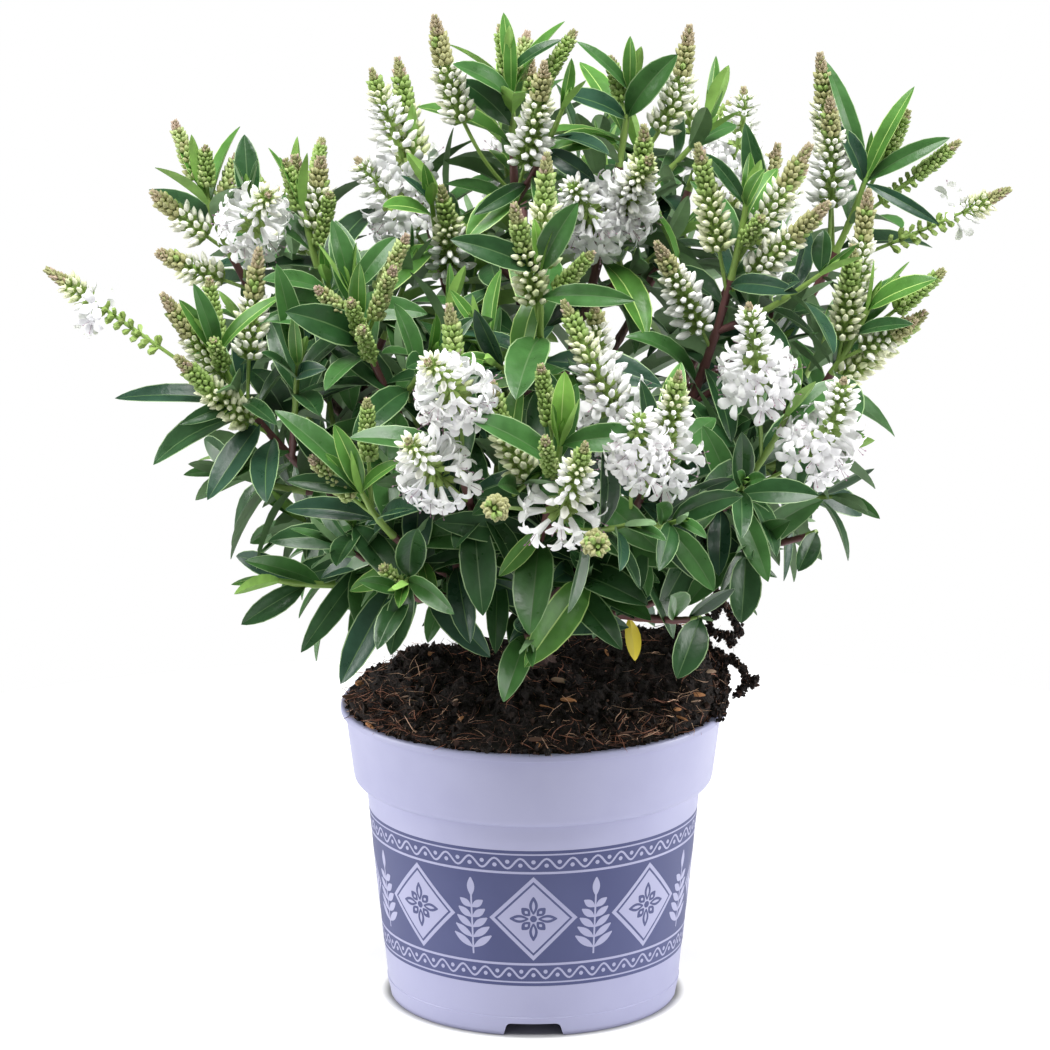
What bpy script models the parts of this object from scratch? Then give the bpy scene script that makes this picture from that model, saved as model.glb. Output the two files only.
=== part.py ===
"""A white-flowered hebe in a three-litre nursery pot, as separate closed solids.

Units are metres. +Z is up, the origin is on the ground under the middle of the pot, and the
front of the plant faces -Y. The trunk rises from the compost, its boughs fork outwards, and
each bough's tip carries one foliage mass: a stem with side shoots, leaves and flower spikes.
"""

import math
import random

import bmesh
import bpy
from mathutils import Vector, noise
from mathutils.bvhtree import BVHTree
from mathutils.kdtree import KDTree

MM = 0.001
GAP = 0.3 * MM  # left between pieces that touch

# Pot: a thin turned shell with a deep collar, standing on a skirt below its floor.
POT_HEIGHT = 150 * MM
RIM_RADIUS = 95 * MM
BEAD_HEIGHT = 3.6 * MM
BEAD_WIDTH = 3.4 * MM
COLLAR_TOP_RADIUS = 92.8 * MM
COLLAR_FOOT_RADIUS = 88.4 * MM
COLLAR_FOOT = 111.5 * MM
COLLAR_ROUNDING = 3.5 * MM
BODY_TOP_RADIUS = 82.8 * MM
BASE_RADIUS = 71.8 * MM
WALL = 1.5 * MM
FLOOR_UNDERSIDE = 7.6 * MM
FLOOR_THICKNESS = 1.8 * MM
FOOT_RADIUS = 24 * MM  # of the dished middle of the floor, which stands on the ground
FOOT_SLOPE = 5 * MM
SKIRT_THICKNESS = 2.6 * MM
POT_SIDES = 36

# Four notches let water out under the skirt, and four round holes drain the floor.
NOTCHES = 4
NOTCH_WIDTH = 30 * MM
NOTCH_TOP_SHARE = 0.86
NOTCH_HEIGHT = 6.8 * MM
DRAIN_RADIUS = 4.5 * MM
DRAIN_CIRCLE = 48 * MM

# Compost: a plug that fills the pot and heaps up above its rim, highest at the back right.
COMPOST_AT_RIM = 147.5 * MM
MOUND_HEIGHT = 22 * MM
HEAP_HEIGHT = 13 * MM
HEAP_AZIMUTH = math.radians(25)
LUMP_HEIGHT = 3.2 * MM
LUMP_SIZE = 17 * MM
GROUND = COMPOST_AT_RIM + MOUND_HEIGHT
FLAT_RADIUS = 15 * MM  # level ground under the trunk
COMPOST_SIDES = POT_SIDES

# Trunk: short and leaning a little, flared where it meets the compost.
TRUNK_HEIGHT = 50 * MM
TRUNK_LEAN = 4 * MM
TRUNK_RADIUS = 6.6 * MM
TRUNK_FLARE = 1.75
TRUNK_TOP_SHARE = 0.78

# Boughs: limbs that leave the trunk outwards and turn up towards their tips.
BOUGH_RADIUS = 3.6 * MM
SIDE_BOUGH_SHARE = 0.82  # of its parent's thickness where it forks
BOUGH_TIP_RADIUS = 1.9 * MM
BEND_OUT = 0.8
BEND_UP = 0.5
BOUGH_POINTS = 5
LIMB_SIDES = 6

# Each limb: its parent, how far along the parent it forks, then in millimetres the growing point
# at the top of the mass that it carries, and last, whether that mass is in open flower. A limb
# from the trunk forks the higher the more steeply it climbs.
LIMBS = {
    "crown_left": ("trunk", 1.0, (-11, -12, 466), False),
    "crown_right": ("crown_left", 0.40, (46, -10, 456), False),
    "back_crown_left": ("crown_left", 0.30, (-58, 26, 420), True),
    "front_upper": ("crown_left", 0.15, (3, -110, 388), False),
    "right_mid": ("trunk", None, (159, -50, 358), False),
    "right_upper": ("right_mid", 0.30, (100, -62, 410), False),
    "low_right_front": ("right_mid", 0.50, (134, -86, 258), False),
    "back_right": ("trunk", None, (112, 112, 380), False),
    "right_top": ("back_right", 0.35, (160, 8, 408), False),
    "back_low_right": ("back_right", 0.45, (140, 55, 262), False),
    "right_low_front": ("trunk", None, (118, -116, 322), True),
    "front_right": ("trunk", None, (60, -146, 322), True),
    "low_front_right": ("front_right", 0.35, (78, -124, 226), False),
    "front_left": ("trunk", None, (-38, -148, 326), True),
    "front_center": ("front_left", 0.50, (12, -160, 318), False),
    "low_front": ("front_left", 0.30, (-2, -128, 216), False),
    "left_front": ("front_left", 0.30, (-80, -136, 290), False),
    "low_left_front": ("left_front", 0.50, (-62, -142, 244), False),
    "left_front_upper": ("trunk", None, (-85, -92, 374), False),
    "left_mid": ("trunk", None, (-150, -62, 338), False),
    "low_left": ("left_mid", 0.40, (-122, -78, 232), False),
    "left_top": ("trunk", None, (-160, 8, 406), False),
    "left_upper": ("left_top", 0.40, (-110, -20, 400), True),
    "back_left": ("trunk", None, (-118, 100, 384), False),
    "back_low_left": ("back_left", 0.45, (-140, 52, 262), False),
    "back_upper": ("trunk", None, (-6, 122, 424), False),
    "back_crown_right": ("back_upper", 0.45, (86, 62, 430), True),
}
LOWEST_FORK = 0.22  # where the flattest bough leaves the trunk, as a share of its height
FLATTEST = math.radians(36)
STEEPEST = math.radians(64)

# Foliage masses: a stem, two side shoots, and leaves in crossed pairs on all of them.
STEM_LENGTH = 108 * MM
STEM_SHARE = 0.66  # of a short limb's whole length
STEM_RADIUS = 2.5 * MM
SHOOT_TIP_SHARE = 0.7
SIDE_SHOOTS = 2
SIDE_SHOOT_TURNS = 8
SIDE_SHOOT_LENGTH = 52 * MM
SIDE_SHOOT_ANGLE = math.radians(48)
LEAF_LENGTH = 57 * MM
LEAF_WIDTH = 21 * MM
LEAF_KEEL = 1.3 * MM
LEAF_ROOT = 0.8 * MM
LEAF_STAGGER = 2.6 * MM  # between the two of a pair
LEAF_TRIES = ((1, 1), (0.86, 0.85), (0.74, 0.65), (0.62, 0.5))  # (length, opening) till one fits
LEAF_SPACING = 22 * MM
LEAF_OPEN = (math.radians(88), math.radians(30))  # from the stem, at its foot and at its tip
LEAF_BEND = math.radians(34)
CELL_MARGIN = 1.2 * MM
LOWEST_LEAF = 162 * MM
SEED = 2

# Flower spikes rise from the upper leaf axils, the lower the longer: slim in bud, and broad
# where they are in flower. Two long spikes arch out past the crown.
SPIKES = 3
SPIKE_TOP = 22 * MM  # from the growing point down to the first spike
SPIKE_SPACING = 15 * MM
SPIKE_LENGTH = (34 * MM, 66 * MM)  # of the first and the last
SPIKE_RADIUS = 8 * MM
FLOWER_HEAD_RADIUS = 16 * MM
STALK_LENGTH = 16 * MM
STALK_RADIUS = 0.9 * MM
SPIKE_ANGLE = math.radians(30)
LONG_SPIKES = {"left_top": (-239, -10, 366), "right_top": (229, -10, 407)}

COLOURS = {
    "pot": ((0.52, 0.53, 0.74), 0.45),
    "compost": ((0.035, 0.022, 0.016), 0.95),
    "bark": ((0.09, 0.045, 0.035), 0.8),
    "foliage": ((0.045, 0.13, 0.035), 0.4),
}


# ---- Scene, materials and the plain making of meshes ----


def clear_scene():
    for item in list(bpy.data.objects):
        bpy.data.objects.remove(item, do_unlink=True)


def material(name):
    """The Principled material of this name, made when first asked for."""
    found = bpy.data.materials.get(name)
    if found:
        return found
    made = bpy.data.materials.new(name)
    made.use_nodes = True
    colour, roughness = COLOURS[name]
    shader = made.node_tree.nodes["Principled BSDF"]
    shader.inputs["Base Color"].default_value = (*colour, 1)
    shader.inputs["Roughness"].default_value = roughness
    shader.inputs["Metallic"].default_value = 0
    made.diffuse_color = (*colour, 1)
    return made


def collection(name, helper=False):
    made = bpy.data.collections.new(name)
    bpy.context.scene.collection.children.link(made)
    made.hide_render = helper
    return made


def add_object(name, data, home, finish):
    made = bpy.data.objects.new(name, data)
    data.materials.append(material(finish))
    home.objects.link(made)
    return made


def add_helper(name, mesh, home):
    made = bpy.data.objects.new(name, mesh)
    home.objects.link(made)
    made.hide_render = True
    made.display_type = "WIRE"
    return made


def mesh_from(name, shape):
    """A mesh from a bmesh, with its faces pointing out."""
    bmesh.ops.recalc_face_normals(shape, faces=shape.faces)
    mesh = bpy.data.meshes.new(name)
    shape.to_mesh(mesh)
    shape.free()
    return mesh


def applied(item):
    """The object's shape with its modifiers applied. The object is removed."""
    bpy.context.view_layer.update()
    graph = bpy.context.evaluated_depsgraph_get()
    mesh = bpy.data.meshes.new_from_object(item.evaluated_get(graph))
    bpy.data.objects.remove(item, do_unlink=True)
    shape = bmesh.new()
    shape.from_mesh(mesh)
    bpy.data.meshes.remove(mesh)
    return shape


def welded(name, shape):
    """A mesh whose caps are sewn to its sides."""
    bmesh.ops.remove_doubles(shape, verts=shape.verts, dist=0.01 * MM)
    return mesh_from(name, shape)


def cut(item, home):
    """Takes every cutter in the collection away from the object."""
    modifier = item.modifiers.new("cut", "BOOLEAN")
    modifier.operation = "DIFFERENCE"
    modifier.operand_type = "COLLECTION"
    modifier.collection = home


def combined(name, operation, body, others):
    """A mesh joined with others, or cut by them, as the one shell that has the most corners."""
    home = collection(f"with_{name}", helper=True)
    for other in others:
        add_helper(f"with_{name}", other, home)
    item = add_helper(f"body_{name}", body, bpy.context.scene.collection)
    modifier = item.modifiers.new("combine", "BOOLEAN")
    modifier.operation = operation
    modifier.solver = "MANIFOLD"
    modifier.operand_type = "COLLECTION"
    modifier.collection = home
    shape = applied(item)
    for other in list(home.objects):
        bpy.data.objects.remove(other, do_unlink=True)
    bpy.data.collections.remove(home)
    keep_largest_shell(shape)
    return mesh_from(name, shape)


def keep_largest_shell(shape):
    """Deletes every shell of faces, joined edge to edge, except the one with the most faces."""
    left = set(shape.faces)
    shells = []
    while left:
        shell = [left.pop()]
        for face in shell:
            for edge in face.edges:
                for other in edge.link_faces:
                    if other in left:
                        left.remove(other)
                        shell.append(other)
        shells.append(shell)
    shells.sort(key=len)
    scraps = [face for shell in shells[:-1] for face in shell]
    bmesh.ops.delete(shape, geom=scraps, context="FACES")


def smooth(item, angle=40):
    item.data.shade_smooth()
    item.data.set_sharp_from_angle(angle=math.radians(angle))


def turned(name, profile, sides):
    """A closed mesh from a profile of (radius, height) that runs from the axis back to the axis."""
    shape = bmesh.new()
    corners = [shape.verts.new((radius, 0, height)) for radius, height in profile]
    for first, second in zip(corners, corners[1:]):
        shape.edges.new((first, second))
    mesh = bpy.data.meshes.new(name)
    shape.to_mesh(mesh)
    shape.free()
    item = bpy.data.objects.new(name, mesh)
    bpy.context.scene.collection.objects.link(item)
    screw = item.modifiers.new("turn", "SCREW")
    screw.steps = sides
    screw.render_steps = sides
    screw.use_merge_vertices = True
    screw.merge_threshold = 0.0001
    return welded(name, applied(item))


# ---- Pot ----


def pot_profile():
    """From the middle of the floor up the inside, over the rim and down the outside to the foot."""
    bead_foot = POT_HEIGHT - BEAD_HEIGHT
    rounding = COLLAR_ROUNDING
    floor_top = FLOOR_UNDERSIDE + FLOOR_THICKNESS
    skirt_inside = BASE_RADIUS - SKIRT_THICKNESS
    return [
        (0, FLOOR_THICKNESS),
        (FOOT_RADIUS - 0.5 * FOOT_SLOPE, FLOOR_THICKNESS),
        (FOOT_RADIUS + 0.5 * FOOT_SLOPE, floor_top),
        (BASE_RADIUS - WALL, floor_top),
        (BODY_TOP_RADIUS - WALL, COLLAR_FOOT),
        (COLLAR_FOOT_RADIUS - WALL, COLLAR_FOOT + 3 * WALL),
        (RIM_RADIUS - BEAD_WIDTH, bead_foot),
        (RIM_RADIUS - BEAD_WIDTH, POT_HEIGHT),
        (RIM_RADIUS - 0.6 * MM, POT_HEIGHT),
        (RIM_RADIUS, POT_HEIGHT - 0.8 * MM),
        (RIM_RADIUS, bead_foot + 0.6 * MM),
        (COLLAR_TOP_RADIUS, bead_foot),
        (COLLAR_FOOT_RADIUS, COLLAR_FOOT + rounding),
        (COLLAR_FOOT_RADIUS - 0.3 * rounding, COLLAR_FOOT + 0.3 * rounding),
        (COLLAR_FOOT_RADIUS - rounding, COLLAR_FOOT),
        (BODY_TOP_RADIUS, COLLAR_FOOT - WALL),
        (BASE_RADIUS, 2 * MM),
        (BASE_RADIUS - 1.2 * MM, 0),
        (skirt_inside, 0),
        (skirt_inside, FLOOR_UNDERSIDE),
        (FOOT_RADIUS + FOOT_SLOPE, FLOOR_UNDERSIDE),
        (FOOT_RADIUS, 0),
        (0, 0),
    ]


def notch_cutter():
    """A box across the skirt whose upper corners are drawn in, reaching 1 mm below the ground."""
    shape = bmesh.new()
    bmesh.ops.create_cube(shape, size=1)
    depth = 24 * MM
    for corner in shape.verts:
        above = corner.co.z > 0
        width = NOTCH_WIDTH * (NOTCH_TOP_SHARE if above else 1)
        corner.co.x *= width
        corner.co.y = -BASE_RADIUS + corner.co.y * depth
        corner.co.z = NOTCH_HEIGHT if above else -1 * MM
    return mesh_from("notch", shape)


def drain_cutter():
    shape = bmesh.new()
    bmesh.ops.create_cone(
        shape, cap_ends=True, segments=12, radius1=DRAIN_RADIUS, radius2=DRAIN_RADIUS, depth=12 * MM
    )
    bmesh.ops.translate(shape, verts=shape.verts, vec=(0, -DRAIN_CIRCLE, FLOOR_UNDERSIDE))
    return mesh_from("drain", shape)


def make_pot(home, whole):
    pot = add_object("pot", whole, home, "pot")
    cutters = collection("cutters", helper=True)
    notch = notch_cutter()
    drain = drain_cutter()
    for number in range(NOTCHES):
        quarter = 2 * math.pi * number / NOTCHES
        add_helper(f"notch_{number}", notch, cutters).rotation_euler.z = quarter
        add_helper(f"drain_{number}", drain, cutters).rotation_euler.z = quarter + math.pi / NOTCHES
    cut(pot, cutters)
    smooth(pot)


# ---- Compost ----


def compost_height(x, y):
    """The top of the compost: a mound with a heap towards the back right, and lumps on it."""
    radius = math.hypot(x, y)
    edge = RIM_RADIUS - BEAD_WIDTH
    share = min(1, max(0, (radius - FLAT_RADIUS) / (edge - FLAT_RADIUS)))
    mound = MOUND_HEIGHT * (1 - share**2.2)
    turn = math.atan2(y, x) - HEAP_AZIMUTH
    heap = HEAP_HEIGHT * max(0, math.cos(turn)) ** 2 * math.sin(math.pi * min(1, share) ** 1.6)
    lumps = LUMP_HEIGHT * noise.noise(Vector((x, y, 0)) / LUMP_SIZE) * min(1, 4 * share)
    return COMPOST_AT_RIM + mound + heap + lumps * (1 - share**6)


def make_compost(home):
    floor = FLOOR_UNDERSIDE + FLOOR_THICKNESS + GAP
    inside = WALL + 2 * GAP
    edge = RIM_RADIUS - BEAD_WIDTH - 2 * GAP
    profile = [
        (0, FLOOR_THICKNESS + GAP),
        (FOOT_RADIUS - 0.7 * FOOT_SLOPE, FLOOR_THICKNESS + GAP),
        (FOOT_RADIUS + 0.3 * FOOT_SLOPE, floor),
        (BASE_RADIUS - inside, floor),
        (BODY_TOP_RADIUS - inside, COLLAR_FOOT),
        (COLLAR_FOOT_RADIUS - inside - GAP, COLLAR_FOOT + 3 * WALL + GAP),
        (edge, POT_HEIGHT - BEAD_HEIGHT),
    ]
    rings = [1, 0.9, 0.76, 0.6, 0.44, 0.3, FLAT_RADIUS / edge, 0]
    top = POT_HEIGHT
    mesh = turned("compost", profile + [(edge * ring, top) for ring in rings], COMPOST_SIDES)
    for corner in mesh.vertices:
        if corner.co.z > top - 0.1 * MM:
            corner.co.z = compost_height(corner.co.x, corner.co.y)
    shape = bmesh.new()
    shape.from_mesh(mesh)
    bpy.data.meshes.remove(mesh)
    compost = mesh_from("compost", shape)
    smooth(add_object("compost", compost, home, "compost"), 60)
    return compost


# ---- Lines that limbs, shoots and spikes follow ----


class Line:
    """A bent line with its own length, read by the distance along it."""

    def __init__(self, points):
        self.points = points
        self.marks = [0.0]
        for first, second in zip(points, points[1:]):
            self.marks.append(self.marks[-1] + (second - first).length)
        self.length = self.marks[-1]

    def at(self, distance):
        """The point there and the direction that the line takes."""
        last = len(self.points) - 2
        step = 0
        while step < last and self.marks[step + 1] < distance:
            step += 1
        first, second = self.points[step], self.points[step + 1]
        share = (distance - self.marks[step]) / (self.marks[step + 1] - self.marks[step])
        return first.lerp(second, share), (second - first).normalized()

    def between(self, start, end, count):
        return [self.at(start + (end - start) * n / (count - 1))[0] for n in range(count)]


def bend(start, corner, end, count=24):
    """A quadratic curve that leaves the start towards the corner and comes from there to the end."""
    shares = [n / count for n in range(count + 1)]
    return Line([(1 - s) ** 2 * start + 2 * s * (1 - s) * corner + s**2 * end for s in shares])


def across(direction, turn):
    """The unit vector square to a direction, turned about it from the side nearest +X."""
    side = (Vector((1, 0, 0)) - direction * direction.x).normalized()
    return side * math.cos(turn) + direction.cross(side) * math.sin(turn)


# ---- Trunk and boughs ----


def trunk_line():
    foot = Vector((0, 0, GROUND + GAP))
    top = foot + Vector((TRUNK_LEAN, 0, TRUNK_HEIGHT))
    return bend(foot, foot + Vector((0, 0, TRUNK_HEIGHT / 2)), top)


def limb_lines():
    """Each limb's line from its fork to its growing point, and the length that is bare bough."""
    trunk = trunk_line()
    lines = {}
    for name, (parent, fork, growing_point, _) in LIMBS.items():
        tip = Vector(growing_point) * MM
        if parent == "trunk":
            climb = math.atan2(tip.z - GROUND, math.hypot(tip.x, tip.y))
            steepness = min(1, max(0, (climb - FLATTEST) / (STEEPEST - FLATTEST)))
            share = fork or LOWEST_FORK + (0.9 - LOWEST_FORK) * steepness
            start = trunk.at(share * trunk.length)[0]
        else:
            line, bare = lines[parent]
            start = line.at(fork * bare)[0]
        way = tip - start
        corner = start + Vector((BEND_OUT * way.x, BEND_OUT * way.y, BEND_UP * way.z))
        line = bend(start, corner, tip)
        lines[name] = (line, line.length - min(STEM_LENGTH, STEM_SHARE * line.length))
    return lines


def limb_radius(name, distance, bare):
    """How thick a bough is at a distance along it, from its fork to its tip."""
    start = BOUGH_RADIUS
    if LIMBS[name][0] != "trunk":
        start *= SIDE_BOUGH_SHARE
    return start + (BOUGH_TIP_RADIUS - start) * distance / bare


def tube(name, points, radii, extra=0.0):
    """A round tapering rod along the points, as a mesh."""
    curve = bpy.data.curves.new(name, "CURVE")
    curve.dimensions = "3D"
    curve.bevel_depth = 1
    curve.bevel_resolution = (LIMB_SIDES - 4) // 2
    curve.use_fill_caps = True
    spline = curve.splines.new("POLY")
    spline.points.add(len(points) - 1)
    for place, point, radius in zip(spline.points, points, radii):
        place.co = (*point, 1)
        place.radius = radius + extra
    item = bpy.data.objects.new(name, curve)
    bpy.context.scene.collection.objects.link(item)
    mesh = welded(name, applied(item))
    bpy.data.curves.remove(curve)
    return mesh


def trunk_shape():
    """The trunk's points and radii: the flare dies out in the first fifth of its height."""
    line = trunk_line()
    shares = (0, 0.07, 0.2, 0.5, 0.8, 1)
    swell = (TRUNK_FLARE, 1.3, 1.05, 1, 0.92, TRUNK_TOP_SHARE)
    points = [line.at(share * line.length)[0] for share in shares]
    return points, [TRUNK_RADIUS * grown for grown in swell]


def bough_shape(name, line, bare):
    points = line.between(0, bare, BOUGH_POINTS)
    marks = [bare * n / (BOUGH_POINTS - 1) for n in range(BOUGH_POINTS)]
    return points, [limb_radius(name, mark, bare) for mark in marks]


def make_limbs(home, lines):
    """The trunk and boughs. Each bough starts inside its parent and is cut back clear of it."""
    shapes = {"trunk": trunk_shape()}
    shapes.update({name: bough_shape(name, *found) for name, found in lines.items()})
    smooth(add_object("trunk", tube("trunk", *shapes["trunk"]), home, "bark"))
    grown = {name: tube(name, *shape, extra=GAP) for name, shape in shapes.items()}
    earlier = [grown["trunk"]]
    for name in LIMBS:
        whole = tube(name, *shapes[name])
        clear = combined(name, "DIFFERENCE", whole, earlier)
        earlier.append(grown[name])
        smooth(add_object(f"bough_{name}", clear, home, "bark"))
    return grown


# ---- Foliage masses ----


def loft(rings, tip):
    """A closed solid: a flat end on the first ring, sides through the rings, and a point."""
    shape = bmesh.new()
    loops = [[shape.verts.new(corner) for corner in ring] for ring in rings]
    point = shape.verts.new(tip)
    shape.faces.new(loops[0])
    for low, high in zip(loops, loops[1:]):
        for n in range(len(low)):
            following = (n + 1) % len(low)
            shape.faces.new((low[n], low[following], high[following], high[n]))
    for n in range(len(loops[-1])):
        shape.faces.new((loops[-1][n], loops[-1][(n + 1) % len(loops[-1])], point))
    return mesh_from("loft", shape)


def rod_ring(centre, direction, radius, sides):
    turns = [2 * math.pi * n / sides for n in range(sides)]
    return [centre + radius * across(direction, turn) for turn in turns]


def shoot_solid(line, radius):
    """A three-sided twig that tapers along its line to a blunt tip."""
    rings = []
    for share in (0, 0.34, 0.67, 0.97):
        point, direction = line.at(line.length * share)
        rings.append(rod_ring(point, direction, radius * (1 + (SHOOT_TIP_SHARE - 1) * share), 3))
    return loft(rings, line.at(line.length)[0])


def leaf_solid(root, stem, outward, opening, length):
    """A lance-shaped leaf with a keel below, rooted on the stem's axis and arching away from it."""
    side = stem.cross(outward)
    half = LEAF_WIDTH / LEAF_LENGTH * length / 2

    def section(centre, angle, width, keel):
        upper = stem * math.sin(angle) - outward * math.cos(angle)
        return [centre + side * width, centre - side * width, centre - upper * keel]

    def onward(angle):
        return stem * math.cos(angle) + outward * math.sin(angle)

    middle = root + onward(opening) * 0.42 * length
    late = opening + LEAF_BEND
    tip = middle + onward(late) * 0.58 * length
    rings = [
        section(root, opening, LEAF_ROOT, LEAF_ROOT),
        section(middle, opening + LEAF_BEND / 2, half, LEAF_KEEL),
    ]
    return loft(rings, tip)


def spike_solid(line, flowering):
    """A flower spike on its stalk, broadest in its lower third."""
    belly = FLOWER_HEAD_RADIUS if flowering else SPIKE_RADIUS
    stalk = STALK_LENGTH / line.length
    head = 1 - stalk
    stations = (
        (0, STALK_RADIUS),
        (stalk, STALK_RADIUS),
        (stalk + 0.22 * head, belly),
        (stalk + 0.66 * head, 0.62 * SPIKE_RADIUS),
    )
    rings = [rod_ring(*line.at(share * line.length), radius, 3) for share, radius in stations]
    return loft(rings, line.at(line.length)[0])


def leader_of(line, bare):
    """The leading shoot of a mass: the rest of its limb's line, clear of the bough's tip."""
    return Line(line.between(bare + GAP, line.length, 9))


def side_shoots_of(name, leader, accepted):
    """Shoots that fork from the leader, each turned about it until its solid is accepted."""
    chance = random.Random(f"{name} shoots {SEED}")
    found = []
    for number in range(SIDE_SHOOTS):
        place, direction = leader.at(leader.length * (0.14 + 0.26 * number))
        first = math.pi * number + chance.uniform(0, math.pi)
        lean = SIDE_SHOOT_ANGLE * chance.uniform(0.85, 1.15)
        length = SIDE_SHOOT_LENGTH * chance.uniform(0.85, 1.2)
        for turn in range(SIDE_SHOOT_TURNS):
            outward = across(direction, first + 2 * math.pi * turn / SIDE_SHOOT_TURNS)
            way = direction * math.cos(lean) + outward * math.sin(lean)
            rise = Vector((0, 0, 0.2 * length))
            shoot = bend(place, place + way * length * 0.5, place + way * length + rise, 6)
            solid = shoot_solid(shoot, STEM_RADIUS * 0.85)
            if accepted(solid):
                found.append((shoot, solid))
                break
    return found


def spikes_of(name, shoots):
    """The lines of the flower spikes on a mass, from the upper leaf axils of its shoots."""
    chance = random.Random(f"{name} spikes {SEED}")
    lines = []
    if name in LONG_SPIKES:
        place, direction = shoots[0].at(shoots[0].length - 2 * SPIKE_TOP)
        tip = Vector(LONG_SPIKES[name]) * MM
        lines.append(bend(place, place.lerp(tip, 0.6) - Vector((0, 0, 12 * MM)), tip, 8))
    for number, shoot in enumerate(shoots[:2]):
        for order in range(SPIKES if number == 0 else 1):
            age = order / (SPIKES - 1) if number == 0 else 0.5
            place, direction = shoot.at(shoot.length - SPIKE_TOP - SPIKE_SPACING * order)
            turn = chance.uniform(0, 0.9) + order * math.radians(137)
            lean = SPIKE_ANGLE * chance.uniform(0.75, 1.25)
            way = direction * math.cos(lean) + across(direction, turn) * math.sin(lean)
            young, old = SPIKE_LENGTH
            length = STALK_LENGTH + (young + (old - young) * age) * chance.uniform(0.9, 1.1)
            rise = Vector((0, 0, 0.12 * length))
            corner = place + way * length * 0.5
            lines.append(bend(place, corner, place + way * length * 0.9 + rise, 6))
    return lines


def leaves_of(name, shoot):
    """(root, stem direction, outward direction, opening angle, length) of each leaf on a shoot."""
    chance = random.Random(f"{name} leaves {SEED} {shoot.length:.4f}")
    phase = chance.uniform(0, math.pi / 2)
    found = []
    for pair in range(1 + int((shoot.length - 0.3 * LEAF_SPACING) / LEAF_SPACING)):
        for half in (0, 1):
            distance = shoot.length - LEAF_SPACING * pair - LEAF_STAGGER * (1 + half)
            place, direction = shoot.at(max(distance, 0.12 * shoot.length))
            share = max(0, distance / shoot.length)
            opening = LEAF_OPEN[0] + (LEAF_OPEN[1] - LEAF_OPEN[0]) * share**1.3
            turn = phase + (pair / 2 + half) * math.pi + chance.uniform(-0.2, 0.2)
            angle = opening * chance.uniform(0.88, 1.12)
            size = LEAF_LENGTH * (0.66 if pair == 0 else 1) * chance.uniform(0.88, 1.12)
            found.append((place, direction, across(direction, turn), angle, size))
    return found


class Spaces:
    """Who owns each point of the crown: the mass whose leading shoot is nearest."""

    def __init__(self, leaders):
        self.owners = []
        marks = []
        for name, leader in leaders.items():
            for point in leader.between(0, leader.length, 16):
                marks.append(point)
                self.owners.append(name)
        self.tree = KDTree(len(marks))
        for number, point in enumerate(marks):
            self.tree.insert(point, number)
        self.tree.balance()

    def holds(self, name, point):
        own = self.tree.find(point, filter=lambda n: self.owners[n] == name)[2]
        other = self.tree.find(point, filter=lambda n: self.owners[n] != name)[2]
        return own + CELL_MARGIN < other


def surface(meshes):
    """One search tree over several meshes."""
    corners = []
    faces = []
    for mesh in meshes:
        shift = len(corners)
        corners += [corner.co.copy() for corner in mesh.vertices]
        faces += [[shift + n for n in face.vertices] for face in mesh.polygons]
    return BVHTree.FromPolygons(corners, faces)


def blade_of(leaf):
    """A leaf without the sixth of it at its root, which may cross its neighbours."""
    root, late = [[corner.co for corner in leaf.vertices][part] for part in (slice(3), slice(3, 6))]
    tip = leaf.vertices[6].co
    start = [a.lerp(b, 0.4) for a, b in zip(root, late)]
    faces = [(0, 1, 4, 3), (1, 2, 5, 4), (2, 0, 3, 5), (3, 4, 6), (4, 5, 6), (5, 3, 6)]
    return BVHTree.FromPolygons([*start, *late, tip], faces)


def fits(mesh, name, spaces, obstacles):
    """Whether a twig, leaf or spike keeps to its mass's space and is clear of limbs and pot."""
    corners = [corner.co for corner in mesh.vertices]
    if min(corner.z for corner in corners) < LOWEST_LEAF:
        return False
    if not all(spaces.holds(name, corner) for corner in corners):
        return False
    return not surface([mesh]).overlap(obstacles)


def make_mass(name, leader, spaces, obstacles):
    """The joined mesh of a mass: whatever would leave its space or touch a limb is left out."""

    def accepted(solid):
        return fits(solid, name, spaces, obstacles)

    pieces = [shoot_solid(leader, STEM_RADIUS)]
    shoots = [leader]
    for shoot, solid in side_shoots_of(name, leader, accepted):
        shoots.append(shoot)
        pieces.append(solid)
    for spike in spikes_of(name, shoots):
        solid = spike_solid(spike, LIMBS[name][3])
        if accepted(solid):
            pieces.append(solid)
    earlier = surface(pieces)
    for shoot in shoots:
        for root, stem, outward, opening, length in leaves_of(name, shoot):
            for share, closed in LEAF_TRIES:
                solid = leaf_solid(root, stem, outward, opening * closed, length * share)
                if not blade_of(solid).overlap(earlier) and accepted(solid):
                    pieces.append(solid)
                    earlier = surface(pieces)
                    break
    return combined(name, "UNION", pieces[0], pieces[1:])


def make_masses(home, lines, obstacles):
    leaders = {name: leader_of(*found) for name, found in lines.items()}
    spaces = Spaces(leaders)
    for name, leader in leaders.items():
        mesh = make_mass(name, leader, spaces, obstacles)
        add_object(f"mass_{name}", mesh, home, "foliage")


def main():
    clear_scene()
    home = collection("potted_hebe")
    pot = turned("pot", pot_profile(), POT_SIDES)
    compost = make_compost(home)
    lines = limb_lines()
    limbs = make_limbs(home, lines)
    make_masses(home, lines, surface([pot, compost, *limbs.values()]))
    make_pot(home, pot)


main()
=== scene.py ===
import math
import random

import bmesh
import bpy
import numpy as np
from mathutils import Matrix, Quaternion, Vector, noise


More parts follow.
